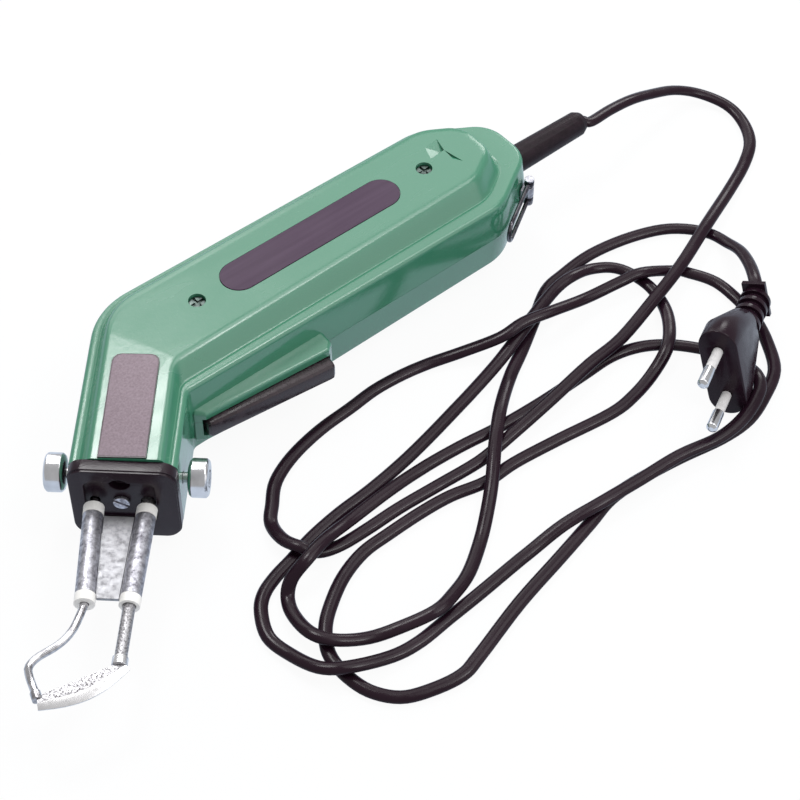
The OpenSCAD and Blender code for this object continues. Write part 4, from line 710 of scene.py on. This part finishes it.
def softCopy(node):  # the solid with its sharp edges rounded
    solid = frame["nodes"][node].data
    mesh = leverForm(solid) if node == "trigger_lever" else solid.copy()
    made = bmesh.new()
    made.from_mesh(mesh)
    bmesh.ops.remove_doubles(made, verts=made.verts, dist=rounding["weld"])
    bmesh.ops.dissolve_limit(made, angle_limit=math.radians(rounding["flat"]), verts=made.verts, edges=made.edges)
    least = math.radians(rounding["sharp"])
    sharp = [e for e in made.edges if len(e.link_faces) == 2 and e.calc_face_angle(0) > least]
    bmesh.ops.bevel(made, geom=sharp, offset=edgeRounds[node] * mm, segments=rounding["cuts"],
                    profile=rounding["profile"], affect="EDGES", clamp_overlap=True)
    made.to_mesh(mesh)
    made.free()
    return newPiece(node.replace("_", " ").title().replace(" ", ""), mesh, node, ownFinishes.get(node))


def brighten(mesh, chosen):  # gives the chosen faces the ground finish
    mesh.materials.append(edgeFinish)
    for face in mesh.polygons:
        face.material_index = int(chosen(face))


def alongNose(face):
    return Vector(face.center).xy @ Vector(noseDir)


def crossSlots(piece):  # second slot of each screw's cross
    top = 2 * housing["middle"] - screws["sunk"]
    wide, long = screws["slot"] / 2, screws["cross"] / 2
    for x in screws["x"]:
        plan = [(x + a * wide, screws["y"] + b * long) for a, b in ((-1, -1), (1, -1), (1, 1), (-1, 1))]
        carve(piece, prism("slot", plan, top - screws["slotDepth"], top + housing["over"]))


softPieces = {node: softCopy(node) for node in edgeRounds}
blade, innerLeg = softPieces["cutting_blade"].data, softPieces["blade_leg_inner"].data
brighten(blade, lambda face: abs(face.normal.z) < bladeLook["flank"])  # the flank keeps its scale
ferruleFrom = max(alongNose(face) for face in innerLeg.polygons) - bladeLook["ferrule"] * mm
brighten(innerLeg, lambda face: alongNose(face) > ferruleFrom)
crossSlots(softPieces["housing_screws"])
print("soft copies:", len(softPieces))

# how far the black rim of painted shade stands out past the nose label, and how deep it sits
gapShadeSize = {"out": 0.4, "sunk": 0.16}  # mm


def labelGapShade():  # black rim a little wider than the nose label and sunk under it, painted shade in the gap around the label
    mesh = frame["nodes"]["nose_plate"].data.copy()
    spots = np.array([v.co[:] for v in mesh.vertices]) / mm
    middle = (spots.min(0) + spots.max(0)) / 2
    for v, spot in zip(mesh.vertices, spots):
        away = (spot - middle)[:2]
        shift = sum(d * np.sign(away @ d) * gapShadeSize["out"] for d in (noseDir, noseOut))
        v.co = Vector((spot + np.array([*shift, -gapShadeSize["sunk"]])) * mm)
    mesh.materials.clear()
    mesh.materials.append(finishes["black_plastic"])
    piece = addObject("noseLabelGapShade", mesh)
    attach(piece, bodyOf["nose_plate"])


labelGapShade()

for node, solid in frame["nodes"].items():  # what stays as the solid takes the same finishes
    solid.data.materials.clear()
    solid.data.materials.append(finishes[slotOf[node]])

studio = {
    "floor": (235, 237, 242), "mirrored": (214, 226, 242), "seen": (255, 255, 255), "floorGlow": 0.94, "sky": 0.5,
    "floorHalf": 3000.0, "floorDrop": 0.2,  # mm
    "lamps": [  # name, place in m, size in m, power in W, aimed at
        ("facePanel", (0.61, 0.67, 0.89), 0.8, 2.3, (0.08, 0.0, 0.04)),
        ("nosePanel", (0.14, 0.466, 0.957), 0.3, 3.4, (-0.02, -0.02, 0.04)),
        ("arrowPanel", (1.0, 0.476, 0.515), 0.3, 1.6, (0.13, 0.0, 0.04)),
        ("sparkLamp", (0.45, -0.55, 1.03), 0.28, 2.4, (0.07, -0.05, 0.03)),
        ("overPanel", (0.57, -0.2, 1.12), 0.7, 3.5, (0.07, -0.02, 0.03)),
        ("rampPanel", (0.58, -0.97, 0.45), 0.8, 1.6, (0.07, -0.02, 0.03)),
        ("backPanel", (0.3, 1.05, 0.5), 0.6, 1.8, (0.07, 0.0, 0.03))],
}


def tableFinish():  # glows white for the camera and pale for mirrors, and still takes the object's shadow
    made = Finish("tableTop")
    camera = made.node("LightPath", out="Is Camera Ray")
    ray = camera
    for kind in ("Is Glossy Ray", "Is Transmission Ray"):
        ray = made.node("Math", {"operation": "MAXIMUM"}, {0: ray, 1: made.node("LightPath", out=kind)})
    matt = made.node("BsdfDiffuse", None, {"Color": paint(*studio["floor"])})
    shade = made.blend(camera, paint(*studio["mirrored"]), paint(*studio["seen"]))
    glow = made.node("Emission", None, {"Color": shade, "Strength": 1.0})
    return made.closeWith(made.node("MixShader", None, {0: ray * studio["floorGlow"], 1: matt, 2: glow}))


def setStage():
    half = studio["floorHalf"]
    corners = [(-half, -half, 0), (half, -half, 0), (half, half, 0), (-half, half, 0)]
    floor = meshFrom("tableTop", corners, [(0, 1, 2, 3)])
    floor.materials.append(tableFinish())
    table = addObject("tableTop", floor)
    table.location.z = -studio["floorDrop"] * mm
    world = bpy.data.worlds.new("studio")
    world.use_nodes = True
    sky = world.node_tree.nodes["Background"].inputs
    sky["Strength"].default_value = studio["sky"]
    sky["Color"].default_value = (1, 1, 1, 1)
    bpy.context.scene.world = world
    for name, spot, size, power, aim in studio["lamps"]:
        data = bpy.data.lights.new(name, "AREA")
        data.size = size
        data.energy = power
        lamp = addObject(name, data)
        lamp.location = spot
        aimAlong(lamp, Vector(aim) - Vector(spot))
    bpy.context.scene.view_settings.view_transform = "Standard"


setStage()
print("stage set")
